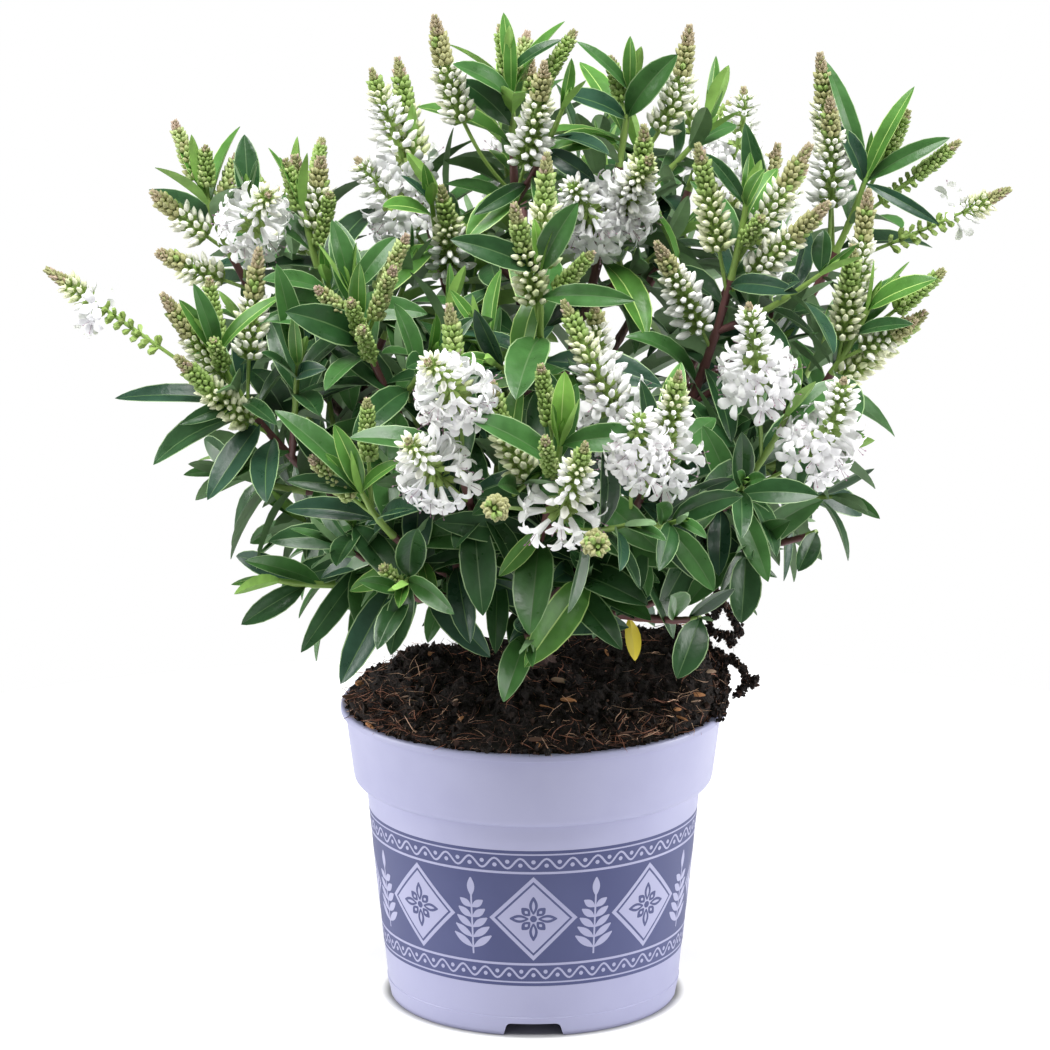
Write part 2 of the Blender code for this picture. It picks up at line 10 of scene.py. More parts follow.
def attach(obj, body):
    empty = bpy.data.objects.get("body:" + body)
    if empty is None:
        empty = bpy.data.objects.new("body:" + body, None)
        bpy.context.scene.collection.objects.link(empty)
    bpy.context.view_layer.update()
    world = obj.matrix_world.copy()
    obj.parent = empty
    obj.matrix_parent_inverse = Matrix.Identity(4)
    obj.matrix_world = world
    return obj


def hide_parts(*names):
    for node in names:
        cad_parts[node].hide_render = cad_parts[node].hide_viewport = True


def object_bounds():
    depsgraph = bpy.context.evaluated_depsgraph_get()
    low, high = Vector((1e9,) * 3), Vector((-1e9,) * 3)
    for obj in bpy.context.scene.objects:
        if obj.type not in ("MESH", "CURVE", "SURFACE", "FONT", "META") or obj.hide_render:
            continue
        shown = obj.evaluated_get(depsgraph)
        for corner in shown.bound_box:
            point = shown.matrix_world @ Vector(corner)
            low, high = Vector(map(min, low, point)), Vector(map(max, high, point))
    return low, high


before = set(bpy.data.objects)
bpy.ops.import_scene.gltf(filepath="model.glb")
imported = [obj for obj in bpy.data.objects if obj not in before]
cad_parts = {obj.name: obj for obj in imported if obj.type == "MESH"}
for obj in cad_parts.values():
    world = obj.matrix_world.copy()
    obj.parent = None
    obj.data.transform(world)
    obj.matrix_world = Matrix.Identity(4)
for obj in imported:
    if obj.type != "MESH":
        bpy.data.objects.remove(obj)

cad_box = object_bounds()
MM = 0.001


# ---- Pot ----
# A three-litre nursery pot, moulded in one piece from lavender polypropylene: a slightly tapering
# body, a deep collar that it is carried and stacked by, and a beaded rim. It stands on a skirt
# with four notches that let water out from under the drained floor.

POT_HEIGHT = 150 * MM
RIM_RADIUS = 95 * MM
BEAD_HEIGHT = 3.6 * MM
BEAD_WIDTH = 3.4 * MM
COLLAR_TOP_RADIUS = 92.8 * MM
COLLAR_FOOT_RADIUS = 88.4 * MM
COLLAR_FOOT = 111.5 * MM
BODY_TOP_RADIUS = 82.8 * MM
BASE_RADIUS = 71.8 * MM
BASE_EDGE = 2 * MM
SKIRT_LINE = 9.8 * MM  # the height of a fine step, where the skirt begins
SKIRT_LINE_SHARE = 0.07  # how far up the body's taper that is
SKIRT_THICKNESS = 2.6 * MM
WALL = 1.5 * MM
FLOOR_UNDERSIDE = 7.6 * MM
FLOOR_TOP = 9.4 * MM
FLOOR_THICKNESS = 1.8 * MM
FOOT_RADIUS = 24 * MM  # of the dished middle of the floor, which stands on the ground
FOOT_SLOPE = 5 * MM
POT_SIDES = 144
NOTCHES = 4
NOTCH_WIDTH = 30 * MM
NOTCH_TOP_SHARE = 0.86
NOTCH_HEIGHT = 6.8 * MM
NOTCH_ROUNDING = 2.2 * MM
CUT = 12 * MM  # how far the notch and drain cutters reach
DRAIN_RADIUS = 4.5 * MM
DRAIN_CIRCLE = 48 * MM
LAVENDER = ((0.335, 0.339, 0.500), (0.308, 0.312, 0.472))
MARK_SCALE = 22


def add(name, mesh, *finishes):
    """A piece from a mesh, with its materials."""
    mesh.name = name
    for finish in finishes:
        mesh.materials.append(finish)
    piece = bpy.data.objects.new(name, mesh)
    bpy.context.scene.collection.objects.link(piece)
    return piece


def settle(piece, slot, *nodes):
    """The piece rides on the plant's one body and replaces nodes, whose CAD parts it hides. slot is not used.
    """
    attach(piece, "root")
    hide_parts(*nodes)


def baked(piece):
    """The piece with its modifiers worked into a plain mesh."""
    graph = bpy.context.evaluated_depsgraph_get()
    mesh = bpy.data.meshes.new_from_object(piece.evaluated_get(graph))
    piece.modifiers.clear()
    piece.data = mesh
    return piece


def as_mesh(shape):
    mesh = bpy.data.meshes.new("shape")
    shape.to_mesh(mesh)
    shape.free()
    return mesh


def smooth(mesh, angle):
    mesh.shade_smooth()
    mesh.set_sharp_from_angle(angle=math.radians(angle))


def softened(corners, steps=4):
    """A profile of (radius, height, rounding) with each rounded corner as an arc."""
    done = []
    for n, (radius, height, rounding) in enumerate(corners):
        here = Vector((radius, height))
        if not rounding:
            done.append(here)
            continue
        start, end = [
            here + (Vector(corners[other][:2]) - here).normalized() * rounding for other in (n - 1, n + 1)
        ]
        for step in range(steps + 1):
            share = step / steps
            done.append(start.lerp(here, share).lerp(here.lerp(end, share), share))
    return [(point.x, point.y) for point in done]


def turned(profile, sides):
    """A closed shell turned from a profile of (radius, height) from the axis back to the axis."""
    shape = bmesh.new()
    turns = [2 * math.pi * n / sides for n in range(sides)]
    rings = []
    for radius, height in profile:
        if radius < 1e-7:
            rings.append([shape.verts.new((0, 0, height))] * sides)
            continue
        rings.append([shape.verts.new((radius * math.cos(a), radius * math.sin(a), height)) for a in turns])
    for low, high in zip(rings, rings[1:]):
        for n in range(sides):
            after = (n + 1) % sides
            shape.faces.new(list(dict.fromkeys((low[n], low[after], high[after], high[n]))))
    bmesh.ops.recalc_face_normals(shape, faces=shape.faces)
    return as_mesh(shape)


def pot_profile():
    """From the middle of the floor up the inside, over the beaded rim and down to the foot."""
    bead_foot = POT_HEIGHT - BEAD_HEIGHT
    inner = RIM_RADIUS - BEAD_WIDTH
    skirt = BASE_RADIUS - SKIRT_THICKNESS
    half = 0.5 * FOOT_SLOPE
    step = BASE_RADIUS + (BODY_TOP_RADIUS - BASE_RADIUS) * SKIRT_LINE_SHARE
    return softened([
        (0, FLOOR_THICKNESS, 0),
        (FOOT_RADIUS - half, FLOOR_THICKNESS, 2 * MM),
        (FOOT_RADIUS + half, FLOOR_TOP, 2 * MM),
        (BASE_RADIUS - WALL, FLOOR_TOP, 1.5 * MM),
        (BODY_TOP_RADIUS - WALL, COLLAR_FOOT, 1 * MM),
        (COLLAR_FOOT_RADIUS - WALL, COLLAR_FOOT + 3 * WALL, 1.5 * MM),
        (inner, bead_foot, 0.8 * MM),
        (inner, POT_HEIGHT, 0.4 * MM),
        (RIM_RADIUS, POT_HEIGHT, 1.5 * MM),
        (RIM_RADIUS, bead_foot, 0.4 * MM),
        (COLLAR_TOP_RADIUS, bead_foot, 0.4 * MM),
        (COLLAR_FOOT_RADIUS, COLLAR_FOOT, 3.4 * MM),
        (BODY_TOP_RADIUS + 0.1 * MM, COLLAR_FOOT, 1.2 * MM),
        (step, SKIRT_LINE + 0.4 * MM, 0),
        (step + 0.3 * MM, SKIRT_LINE, 0),
        (BASE_RADIUS, BASE_EDGE, 1 * MM),
        (BASE_RADIUS - 1.2 * MM, 0, 0.6 * MM),
        (skirt, 0, 0.4 * MM),
        (skirt, FLOOR_UNDERSIDE, 1 * MM),
        (FOOT_RADIUS + FOOT_SLOPE, FLOOR_UNDERSIDE, 2 * MM),
        (FOOT_RADIUS, 0, 2 * MM),
        (0, 0, 0),
    ])


def notch_and_drain_cutters():
    """One mesh of four notch blocks with rounded upper corners, and four drain rods between them."""
    shape = bmesh.new()
    half = NOTCH_WIDTH / 2
    top = half * NOTCH_TOP_SHARE
    outline = softened([
        (-half, -1 * MM, 0),
        (-top, NOTCH_HEIGHT, NOTCH_ROUNDING),
        (top, NOTCH_HEIGHT, NOTCH_ROUNDING),
        (half, -1 * MM, 0),
    ])
    for quarter in range(NOTCHES):
        turn = 2 * math.pi * quarter / NOTCHES
        side = Vector((math.cos(turn), math.sin(turn), 0))
        outward = Vector((math.sin(turn), -math.cos(turn), 0))
        ends = []
        for depth in (BASE_RADIUS - CUT, BASE_RADIUS + CUT):
            ends.append([shape.verts.new(side * x + outward * depth + Vector((0, 0, z))) for x, z in outline])
        shape.faces.new(ends[0])
        shape.faces.new(ends[1][::-1])
        for n in range(len(outline)):
            after = (n + 1) % len(outline)
            shape.faces.new((ends[0][n], ends[1][n], ends[1][after], ends[0][after]))
        turn += math.pi / NOTCHES
        drain = bmesh.ops.create_cone(
            shape, cap_ends=True, segments=24, radius1=DRAIN_RADIUS, radius2=DRAIN_RADIUS, depth=CUT
        )
        place = Vector((DRAIN_CIRCLE * math.cos(turn), DRAIN_CIRCLE * math.sin(turn), FLOOR_UNDERSIDE))
        bmesh.ops.translate(shape, verts=drain["verts"], vec=place)
    bmesh.ops.recalc_face_normals(shape, faces=shape.faces)
    return as_mesh(shape)


def feed(node, **inputs):
    """Sets a node's inputs, each to a value or to a link from another node's output."""
    for name, value in inputs.items():
        socket = node.inputs[name.replace("_", " ")]
        if isinstance(value, bpy.types.NodeSocket):
            node.id_data.links.new(value, socket)
        else:
            socket.default_value = value


def wire(tree, kind, output, **given):
    """Adds a node and returns one of its outputs. Its settings start small, and its inputs don't."""
    node = tree.nodes.new(kind if "Node" in kind else f"ShaderNode{kind}")
    for name, value in given.items():
        if name[0].islower():
            setattr(node, name, value)
    feed(node, **{name: value for name, value in given.items() if not name[0].islower()})
    return node.outputs[output]


def blank(name):
    """A new material, its node tree and its shader."""
    made = bpy.data.materials.new(name)
    made.use_nodes = True
    return made, made.node_tree, made.node_tree.nodes["Principled BSDF"]


def pattern_group(name):
    """A new node group that reads a place and a scale, and puts out a mask and a height."""
    group = bpy.data.node_groups.new(name, "ShaderNodeTree")
    for label, way, kind in (
        ("Vector", "INPUT", "Vector"), ("Scale", "INPUT", "Float"), ("Mask", "OUTPUT", "Float"),
        ("Height", "OUTPUT", "Float"),
    ):
        group.interface.new_socket(label, in_out=way, socket_type=f"NodeSocket{kind}")
    given = group.nodes.new("NodeGroupInput").outputs
    return group, given["Vector"], given["Scale"], group.nodes.new("NodeGroupOutput")


def handling_marks():
    """Node group for used plastic: rubbed patches, fine scratches and the mould's faint grain."""
    group, place, scale, result = pattern_group("Handling marks")
    patches = wire(group, "TexNoise", "Fac", Vector=place, Scale=scale, Detail=6)
    stretched = wire(group, "Mapping", "Vector", Vector=place, Scale=(260, 260, 2200))
    scratches = wire(group, "TexNoise", "Fac", Vector=stretched, Scale=1, Detail=2)
    grain = wire(group, "TexNoise", "Fac", Vector=place, Scale=2600)
    relief = wire(group, "Mix", "Result", Factor=0.45, A=scratches, B=grain)
    rubbed = wire(group, "MapRange", "Result", Value=patches, From_Min=0.42, From_Max=0.72)
    feed(result, Mask=rubbed, Height=relief)
    return group


def patterned(name, pattern, scale, shades, dullness, relief, depth, **more):
    """A finish that a pattern's mask takes from one shade and roughness to another, with its relief."""
    made, tree, shader = blank(name)
    marks = tree.nodes.new("ShaderNodeGroup")
    marks.node_tree = pattern
    feed(marks, Vector=wire(tree, "TexCoord", "Object"), Scale=scale)
    mask, height = marks.outputs["Mask"], marks.outputs["Height"]
    first, second = [(*shade, 1) for shade in shades]
    colour = wire(tree, "Mix", "Result", data_type="RGBA", Factor=mask, A=first, B=second)
    rough = wire(tree, "MapRange", "Result", Value=mask, To_Min=dullness[0], To_Max=dullness[1])
    normal = wire(tree, "Bump", "Normal", Strength=relief, Distance=depth, Height=height)
    feed(shader, Base_Color=colour, Roughness=rough, Normal=normal, **more)
    return made


MARKS = handling_marks()


def moulded_plastic(name, shades, dullness, relief):
    """Satin polypropylene: two near shades, duller where it is rubbed, with a very fine grain."""
    return patterned(name, MARKS, MARK_SCALE, shades, dullness, relief, 0.1 * MM)


pot_plastic = moulded_plastic("Lavender polypropylene", LAVENDER, (0.38, 0.52), 0.25)
pot = add("pot_shell", turned(pot_profile(), POT_SIDES), pot_plastic)
cutters = add("cutters", notch_and_drain_cutters())
cut = pot.modifiers.new("notches and drains", "BOOLEAN")
cut.operation = "DIFFERENCE"
cut.solver = "EXACT"
cut.object = cutters
baked(pot)
bpy.data.objects.remove(cutters, do_unlink=True)
smooth(pot.data, 32)
settle(pot, "pot", "pot")


# ---- Printed band ----
# A slate-blue band screen-printed round the body of the pot, left unprinted where the pale
# pattern shows: rows of lozenges with rosettes, leaf sprigs between them, and a wave with dots
# along each edge. The ink is a film a few hundredths of a millimetre thick.

BAND_FOOT = 27 * MM
BAND_TOP = 98 * MM
BAND_MIDDLE = 62.5 * MM
INK_OUT = 0.10 * MM
UNPRINTED_OUT = 0.16 * MM
NEXT_OUT = 0.03 * MM  # how far each part of a lozenge stands over the last
UNDER_THE_FILM = 0.25 * MM
EDGE_LINES = ((29, 0.8), (38.5, 1.2), (86.5, 1.2), (96, 0.8))  # height and width in mm
EDGE_WAVES = ((33.7, 1), (91.3, -1))  # height in mm, and which way up
WAVES = 40
WAVE_SWING = 2.6 * MM
WAVE_WIDTH = 1 * MM
WAVE_DOT = 1.05 * MM
WAVE_DOT_IN = 0.9 * MM
PANELS = 8
LOZENGES = ((21.5, 22), (19, 19.4), (17.6, 18))  # half their width and height in mm
PETALS = 8
SLATE = ((0.041, 0.050, 0.148), (0.060, 0.070, 0.175))


class Joined:
    """Many small closed shapes gathered as one mesh. Each shape is skinned over rings of corners."""

    def __init__(self):
        self.corners, self.loops, self.sizes, self.finishes = [], [], [], []
        self.count = 0

    def skin(self, rings, finish=0):
        """Adds rings, an array of (rings, corners, 3); finish is one number, or one for each side."""
        many, around = rings.shape[:2]
        index = self.count + np.arange(many * around).reshape(many, around)
        after = np.roll(index, -1, axis=1)
        sides = np.stack([index[:-1], after[:-1], after[1:], index[1:]], axis=-1).reshape(-1, 4)
        each = np.broadcast_to(np.asarray(finish), (many - 1, around)).ravel()
        self.corners.append(rings.reshape(-1, 3))
        self.loops += [sides.ravel(), index[0, ::-1], index[-1]]
        self.sizes += [np.full(len(sides), 4), np.array([around, around])]
        self.finishes += [each, each[[0, -1]]]
        self.count += many * around

    def mesh(self, angle):
        made = bpy.data.meshes.new("joined")
        corners = np.concatenate(self.corners)
        loops = np.concatenate(self.loops)
        sizes = np.concatenate(self.sizes)
        made.vertices.add(len(corners))
        made.vertices.foreach_set("co", corners.astype(np.float32).ravel())
        made.loops.add(len(loops))
        made.loops.foreach_set("vertex_index", loops.astype(np.int32))
        made.polygons.add(len(sizes))
        made.polygons.foreach_set("loop_start", (np.cumsum(sizes) - sizes).astype(np.int32))
        made.polygons.foreach_set("material_index", np.concatenate(self.finishes).astype(np.int32))
        made.update(calc_edges=True)
        smooth(made, angle)
        return made


def wall_radius(height):
    share = (height - BASE_EDGE) / (COLLAR_FOOT - BASE_EDGE)
    return BASE_RADIUS + (BODY_TOP_RADIUS - BASE_RADIUS) * share


GIRTH = 2 * math.pi * wall_radius(BAND_MIDDLE)


def on_wall(around, height, lift):
    """Points on the pot's wall, from lengths measured round its middle and up it."""
    turn = around / wall_radius(BAND_MIDDLE) - math.pi / 2
    radius = wall_radius(height) + lift
    return np.stack([radius * np.cos(turn), radius * np.sin(turn), height], axis=-1)


def stroke(pattern, points, widths, lift=UNPRINTED_OUT):
    """A thin strip of the pattern that follows the wall, as wide at each point as its width."""
    points = np.asarray(points, float)
    onward = np.gradient(points, axis=0)
    onward /= np.linalg.norm(onward, axis=1, keepdims=True) + 1e-12
    left = np.stack([-onward[:, 1], onward[:, 0]], axis=-1)
    left *= np.broadcast_to(widths, len(points))[:, None] / 2
    sides = []
    for side, out in ((left, -UNDER_THE_FILM), (left, lift), (-left, lift), (-left, -UNDER_THE_FILM)):
        edge = points + side
        sides.append(on_wall(edge[:, 0], edge[:, 1], out))
    pattern.skin(np.stack(sides, axis=1))


def petal(pattern, middle, turn, start, end, width, lift=UNPRINTED_OUT):
    """A pointed oval that stands out from a middle point at a turn."""
    shares = np.linspace(0, 1, 9)
    way = np.array([math.sin(turn), math.cos(turn)])
    points = middle + way * (start + (end - start) * shares)[:, None]
    stroke(pattern, points, width * np.sin(math.pi * np.clip(shares, 0.03, 0.97)) ** 0.8, lift)


def dot(pattern, middle, radius, lift=UNPRINTED_OUT):
    shares = np.linspace(-1, 1, 9)
    points = middle + np.stack([shares * radius, np.zeros(9)], axis=-1)
    stroke(pattern, points, 2 * radius * np.sqrt(np.clip(1 - shares**2, 0.01, 1)), lift)


def lozenge(pattern, middle, half_width, half_height, lift):
    shares = np.linspace(-1, 1, 25)
    points = middle + np.stack([shares * half_width, np.zeros(25)], axis=-1)
    stroke(pattern, points, 2 * half_height * np.clip(1 - np.abs(shares), 0.004, 1), lift)


def rosette(ground, ink, middle, lifts):
    """Ink petals round a dot, long and short by turns, each with a pale line in it."""
    for number in range(PETALS):
        turn = 2 * math.pi * number / PETALS
        far = (11.5 if number % 2 == 0 else 8) * MM
        petal(ink, middle, turn, 2.4 * MM, far, 4.2 * MM, lifts[0])
        petal(ground, middle, turn, 4 * MM, far - 2.2 * MM, 1.5 * MM, lifts[1])
    dot(ink, middle, 1.7 * MM, lifts[0])


def sprig(pattern, middle, height, pairs):
    """An upright stem with pairs of leaves and one leaf at its tip."""
    foot = middle - np.array([0, height / 2])
    stem = foot + np.stack([np.zeros(7), 0.8 * height * np.linspace(0, 1, 7)], axis=-1)
    stroke(pattern, stem, 0.9 * MM)
    for n in range(pairs):
        joint = foot + np.array([0, height * (0.08 + 0.66 * n / pairs)])
        for turn in (-0.95, 0.95):
            petal(pattern, joint, turn, 0.4 * MM, (12 - 1.2 * n) * MM, 3.6 * MM)
    petal(pattern, foot, 0, 0.76 * height, height, 3.8 * MM)


def edge_wave(pattern, height, flip):
    """A wavy line all round, with a dot in each hollow."""
    along = np.linspace(0, GIRTH, WAVES * 12 + 1)
    swing = WAVE_SWING * np.cos(2 * math.pi * WAVES * along / GIRTH)
    stroke(pattern, np.stack([along, height + flip * swing], axis=-1), WAVE_WIDTH)
    for n in range(2 * WAVES):
        inward = -flip if n % 2 == 0 else flip
        dot(pattern, np.array([GIRTH * n / 2 / WAVES, height + inward * WAVE_DOT_IN]), WAVE_DOT)


def band_film():
    """A thin closed ring round the body, its inner side a little inside the wall."""
    corners = ((BAND_FOOT, -UNDER_THE_FILM), (BAND_FOOT, INK_OUT), (BAND_TOP, INK_OUT),
               (BAND_TOP, -UNDER_THE_FILM), (BAND_FOOT, -UNDER_THE_FILM))
    profile = softened([(wall_radius(height) + out, height, 0) for height, out in corners])
    shape = bmesh.new()
    shape.from_mesh(turned(profile, POT_SIDES))
    bmesh.ops.remove_doubles(shape, verts=shape.verts, dist=0.01 * MM)
    bmesh.ops.recalc_face_normals(shape, faces=shape.faces)
    mesh = as_mesh(shape)
    smooth(mesh, 30)
    return mesh


ink = moulded_plastic("Slate printing ink", SLATE, (0.5, 0.62), 0.2)
unprinted = moulded_plastic("Unprinted plastic", LAVENDER, (0.4, 0.55), 0.25)
pale, slate = Joined(), Joined()
for height, width in EDGE_LINES:
    turns = np.linspace(0, GIRTH, 4 * POT_SIDES // 3 + 1)
    stroke(pale, np.stack([turns, np.full_like(turns, height * MM)], axis=-1), width * MM)
for height, flip in EDGE_WAVES:
    edge_wave(pale, height * MM, flip)
for n in range(PANELS):
    middle = np.array([GIRTH * n / PANELS, BAND_MIDDLE])
    lifts = [UNPRINTED_OUT + layer * NEXT_OUT for layer in range(5)]
    for pattern, (half_width, half_height), lift in zip((pale, slate, pale), LOZENGES, lifts):
        lozenge(pattern, middle, half_width * MM, half_height * MM, lift)
    rosette(pale, slate, middle, lifts[3:])
    sprig(pale, middle + np.array([GIRTH / PANELS / 2, 0]), 40 * MM, 5)
settle(add("printed_band", band_film(), ink), "pot", "pot")
settle(add("band_pattern", pale.mesh(30), unprinted), "pot", "pot")
settle(add("band_rosettes", slate.mesh(30), ink), "pot", "pot")


# ---- Compost ----
# Peat and composted bark that fill the pot and heap up above its rim, highest at the back right,
# with crumbs, root fibres and chips of bark lying loose on top. Roots and damp hold it together.

GAP = 0.3 * MM
COMPOST_AT_RIM = 147.5 * MM
MOUND_HEIGHT = 22 * MM
HEAP_HEIGHT = 13 * MM
HEAP_AZIMUTH = math.radians(25)
LUMP_HEIGHT = 3.2 * MM
LUMP_SIZE = 17 * MM
GROUND = COMPOST_AT_RIM + MOUND_HEIGHT
FLAT_RADIUS = 15 * MM
CLOD_SIZE, CLOD_HEIGHT = 8 * MM, 5 * MM
CRUMB_SIZE, CRUMB_HEIGHT = 3.1 * MM, 2.6 * MM
GRIT_SIZE, GRIT_HEIGHT = 1.3 * MM, 1.2 * MM
BRIM_RISE = 3.9 * MM
# Heaps near the brim: height, turn and its spread in radians, distance out and its spread.
BRIM_HEAPS = (
    (19 * MM, math.radians(10), 0.50, 81 * MM, 13 * MM),
    (12 * MM, math.pi, 0.70, 62 * MM, 20 * MM),
)
COMPOST_EDGE = RIM_RADIUS - BEAD_WIDTH - 2 * GAP
COMPOST_RINGS = 64
COMPOST_SIDES = 192
CRUMBS, FIBRES, CHIPS = 1500, 2000, 46
BRIM_CRUMBS = 700
CRUMB_TINTS = (0, 0, 0, 1, 1, 2)
SEED = 2


def ramped(value, start, width):
    """How far a value is up a ramp, from 0 to 1."""
    return min(1, max(0, (value - start) / width))


def compost_height(x, y):
    """The top of the mound, as the solid has it."""
    share = ramped(math.hypot(x, y), FLAT_RADIUS, RIM_RADIUS - BEAD_WIDTH - FLAT_RADIUS)
    mound = MOUND_HEIGHT * (1 - share**2.2)
    turn = math.atan2(y, x) - HEAP_AZIMUTH
    heap = HEAP_HEIGHT * max(0, math.cos(turn)) ** 2 * math.sin(math.pi * share**1.6)
    lumps = LUMP_HEIGHT * noise.noise(Vector((x, y, 0)) / LUMP_SIZE) * min(1, 4 * share)
    return COMPOST_AT_RIM + mound + heap + lumps * (1 - share**6)


def crumbly_height(x, y):
    """The same mound with its clods and crumbs, brought up to the rim and heaped at both sides."""
    place = Vector((x, y, 0))
    clods = abs(noise.noise(place / CLOD_SIZE)) * CLOD_HEIGHT
    crumbs = noise.noise(place / CRUMB_SIZE + Vector((7, 3, 1))) * CRUMB_HEIGHT
    grit = noise.noise(place / GRIT_SIZE) * GRIT_HEIGHT
    radius = math.hypot(x, y)
    inside = 1 - ramped(radius, COMPOST_EDGE - 5 * MM, 5 * MM)
    off_stem = ramped(radius, 7 * MM, 6 * MM)
    rough = (clods - 1.6 * MM + crumbs + grit) * (0.25 + 0.75 * inside) * (0.2 + 0.8 * off_stem)
    raised = BRIM_RISE * ramped(radius, 74 * MM, 17 * MM)
    for high, azimuth, spread, out, width in BRIM_HEAPS:
        away = math.remainder(math.atan2(y, x) - azimuth, 2 * math.pi)
        raised += high * math.exp(-((away / spread) ** 2) - ((radius - out) / width) ** 2)
    return compost_height(x, y) + rough + raised


def compost_shell():
    """The filling: up the inside of the pot, a hair clear of it, and in over the crumbly top."""
    floor = FLOOR_TOP + GAP
    inside = WALL + 2 * GAP
    sides = [
        (0, FLOOR_THICKNESS + GAP),
        (FOOT_RADIUS - 0.7 * FOOT_SLOPE, FLOOR_THICKNESS + GAP),
        (FOOT_RADIUS + 0.3 * FOOT_SLOPE, floor),
        (BASE_RADIUS - inside, floor),
        (BODY_TOP_RADIUS - inside, COLLAR_FOOT),
        (COLLAR_FOOT_RADIUS - inside - GAP, COLLAR_FOOT + 3 * WALL + GAP),
        (COMPOST_EDGE, POT_HEIGHT - BEAD_HEIGHT),
    ]
    top = [(COMPOST_EDGE * (1 - n / COMPOST_RINGS), POT_HEIGHT) for n in range(COMPOST_RINGS + 1)]
    mesh = turned(sides + top, COMPOST_SIDES)
    for corner in mesh.vertices:
        if corner.co.z > POT_HEIGHT - 0.1 * MM:
            corner.co.z = crumbly_height(corner.co.x, corner.co.y)
    smooth(mesh, 50)
    return mesh


def ramp(tree, factor, *stops):
    """The colour of a ramp of three (position, colour) stops, the middle one last."""
    colour = wire(tree, "ValToRGB", "Color", Fac=factor)
    elements = colour.node.color_ramp.elements
    for number, (position, shade) in enumerate(stops):
        stop = elements[number] if number < 2 else elements.new(position)
        stop.position = position
        stop.color = (*shade, 1)
    return colour


def peat():
    """Damp peat: near black with redder fibrous patches, dull, and rough at every scale."""
    made, tree, shader = blank("Peat compost")
    place = wire(tree, "TexCoord", "Object")
    patches = wire(tree, "TexNoise", "Fac", Vector=place, Scale=240, Detail=9, Roughness=0.7)
    grit = wire(tree, "TexVoronoi", "Distance", Vector=place, Scale=900)
    feed(
        shader,
        Base_Color=ramp(tree, patches, (0.38, (0.004, 0.003, 0.003)), (0.74, (0.056, 0.030, 0.022)),
                        (0.57, (0.016, 0.011, 0.009))),
        Roughness=0.9,
        Specular_IOR_Level=0.3,
        Normal=wire(tree, "Bump", "Normal", Strength=0.9, Distance=0.8 * MM, Height=grit),
    )
    return made


def plain(name, colour, roughness):
    """A plain finish for parts too small to show a pattern of their own."""
    made, _, shader = blank(name)
    feed(shader, Base_Color=(*colour, 1), Roughness=roughness)
    return made


def plains(roughness, *finishes):
    """A list of plain finishes from their names and colours."""
    return [plain(name, colour, roughness) for name, colour in finishes]


def strewing():
    """Geometry Nodes that put one shape at every point, turned, sized and tinted as the point says."""
    tree = bpy.data.node_groups.new("Strew a shape", "GeometryNodeTree")
    for label, kind in (
        ("Geometry", "Geometry"), ("Shape", "Object"), ("Finish 0", "Material"), ("Finish 1", "Material"),
        ("Finish 2", "Material"),
    ):
        tree.interface.new_socket(label, in_out="INPUT", socket_type=f"NodeSocket{kind}")
    tree.interface.new_socket("Geometry", in_out="OUTPUT", socket_type="NodeSocketGeometry")
    given = tree.nodes.new("NodeGroupInput").outputs

    def of_point(name, kind):
        return wire(tree, "GeometryNodeInputNamedAttribute", "Attribute", data_type=kind, Name=name)

    shape = wire(tree, "GeometryNodeObjectInfo", "Geometry", Object=given["Shape"])
    turn = wire(tree, "FunctionNodeEulerToRotation", "Rotation", Euler=of_point("turned", "FLOAT_VECTOR"))
    put = wire(tree, "GeometryNodeInstanceOnPoints", "Instances", Points=given["Geometry"], Instance=shape,
               Rotation=turn, Scale=of_point("size", "FLOAT_VECTOR"))
    last = wire(tree, "GeometryNodeRealizeInstances", "Geometry", Geometry=put)
    for number in range(3):
        same = wire(tree, "FunctionNodeCompare", "Result", data_type="INT", operation="EQUAL",
                    A=of_point("tint", "INT"), B=number)
        last = wire(tree, "GeometryNodeSetMaterial", "Geometry", Geometry=last, Selection=same,
                    Material=given[f"Finish {number}"])
    feed(tree.nodes.new("NodeGroupOutput"), Geometry=last)
    return tree


STREW = strewing()


def strewn(name, shape, spots, finishes):
    """A piece of one shape at many spots of (place, turn as an Euler, size, tint)."""
    points = bpy.data.meshes.new(name)
    points.from_pydata([spot[0] for spot in spots], [], [])
    for label, part in (("turned", 1), ("size", 2)):
        values = points.attributes.new(label, "FLOAT_VECTOR", "POINT").data
        values.foreach_set("vector", [value for spot in spots for value in spot[part]])
    points.attributes.new("tint", "INT", "POINT").data.foreach_set("value", [spot[3] for spot in spots])
    model = add(f"{name}_model", shape)
    piece = add(name, points)
    modifier = piece.modifiers.new("strew", "NODES")
    modifier.node_group = STREW
    sockets = {item.name: item.identifier for item in STREW.interface.items_tree if item.in_out == "INPUT"}
    modifier[sockets["Shape"]] = model
    for number in range(3):
        modifier[sockets[f"Finish {number}"]] = finishes[min(number, len(finishes) - 1)]
    baked(piece)
    bpy.data.objects.remove(model, do_unlink=True)
    return piece


def crumb_shape():
    shape = bmesh.new()
    bmesh.ops.create_icosphere(shape, subdivisions=1, radius=1)
    for corner in shape.verts:
        corner.co *= 0.8 + 0.9 * noise.noise(corner.co * 1.9 + Vector((3, 1, 4)))
    mesh = as_mesh(shape)
    smooth(mesh, 35)
    return mesh


def skinned(rings, angle):
    """A mesh of one closed shape over rings of corners."""
    joined = Joined()
    joined.skin(np.array(rings))
    return joined.mesh(angle)


def strand_shape(bends, thickness):
    """A bent three-sided fibre, 1 long and lying along X."""
    rings = []
    for n, (y, z) in enumerate(bends):
        slim = thickness * (0.4 if n in (0, len(bends) - 1) else 1)
        x = n / (len(bends) - 1) - 0.5
        rings.append([(x, y + slim * math.cos(a), z + slim * math.sin(a)) for a in (0, 2.1, 4.2)])
    return skinned(rings, 60)


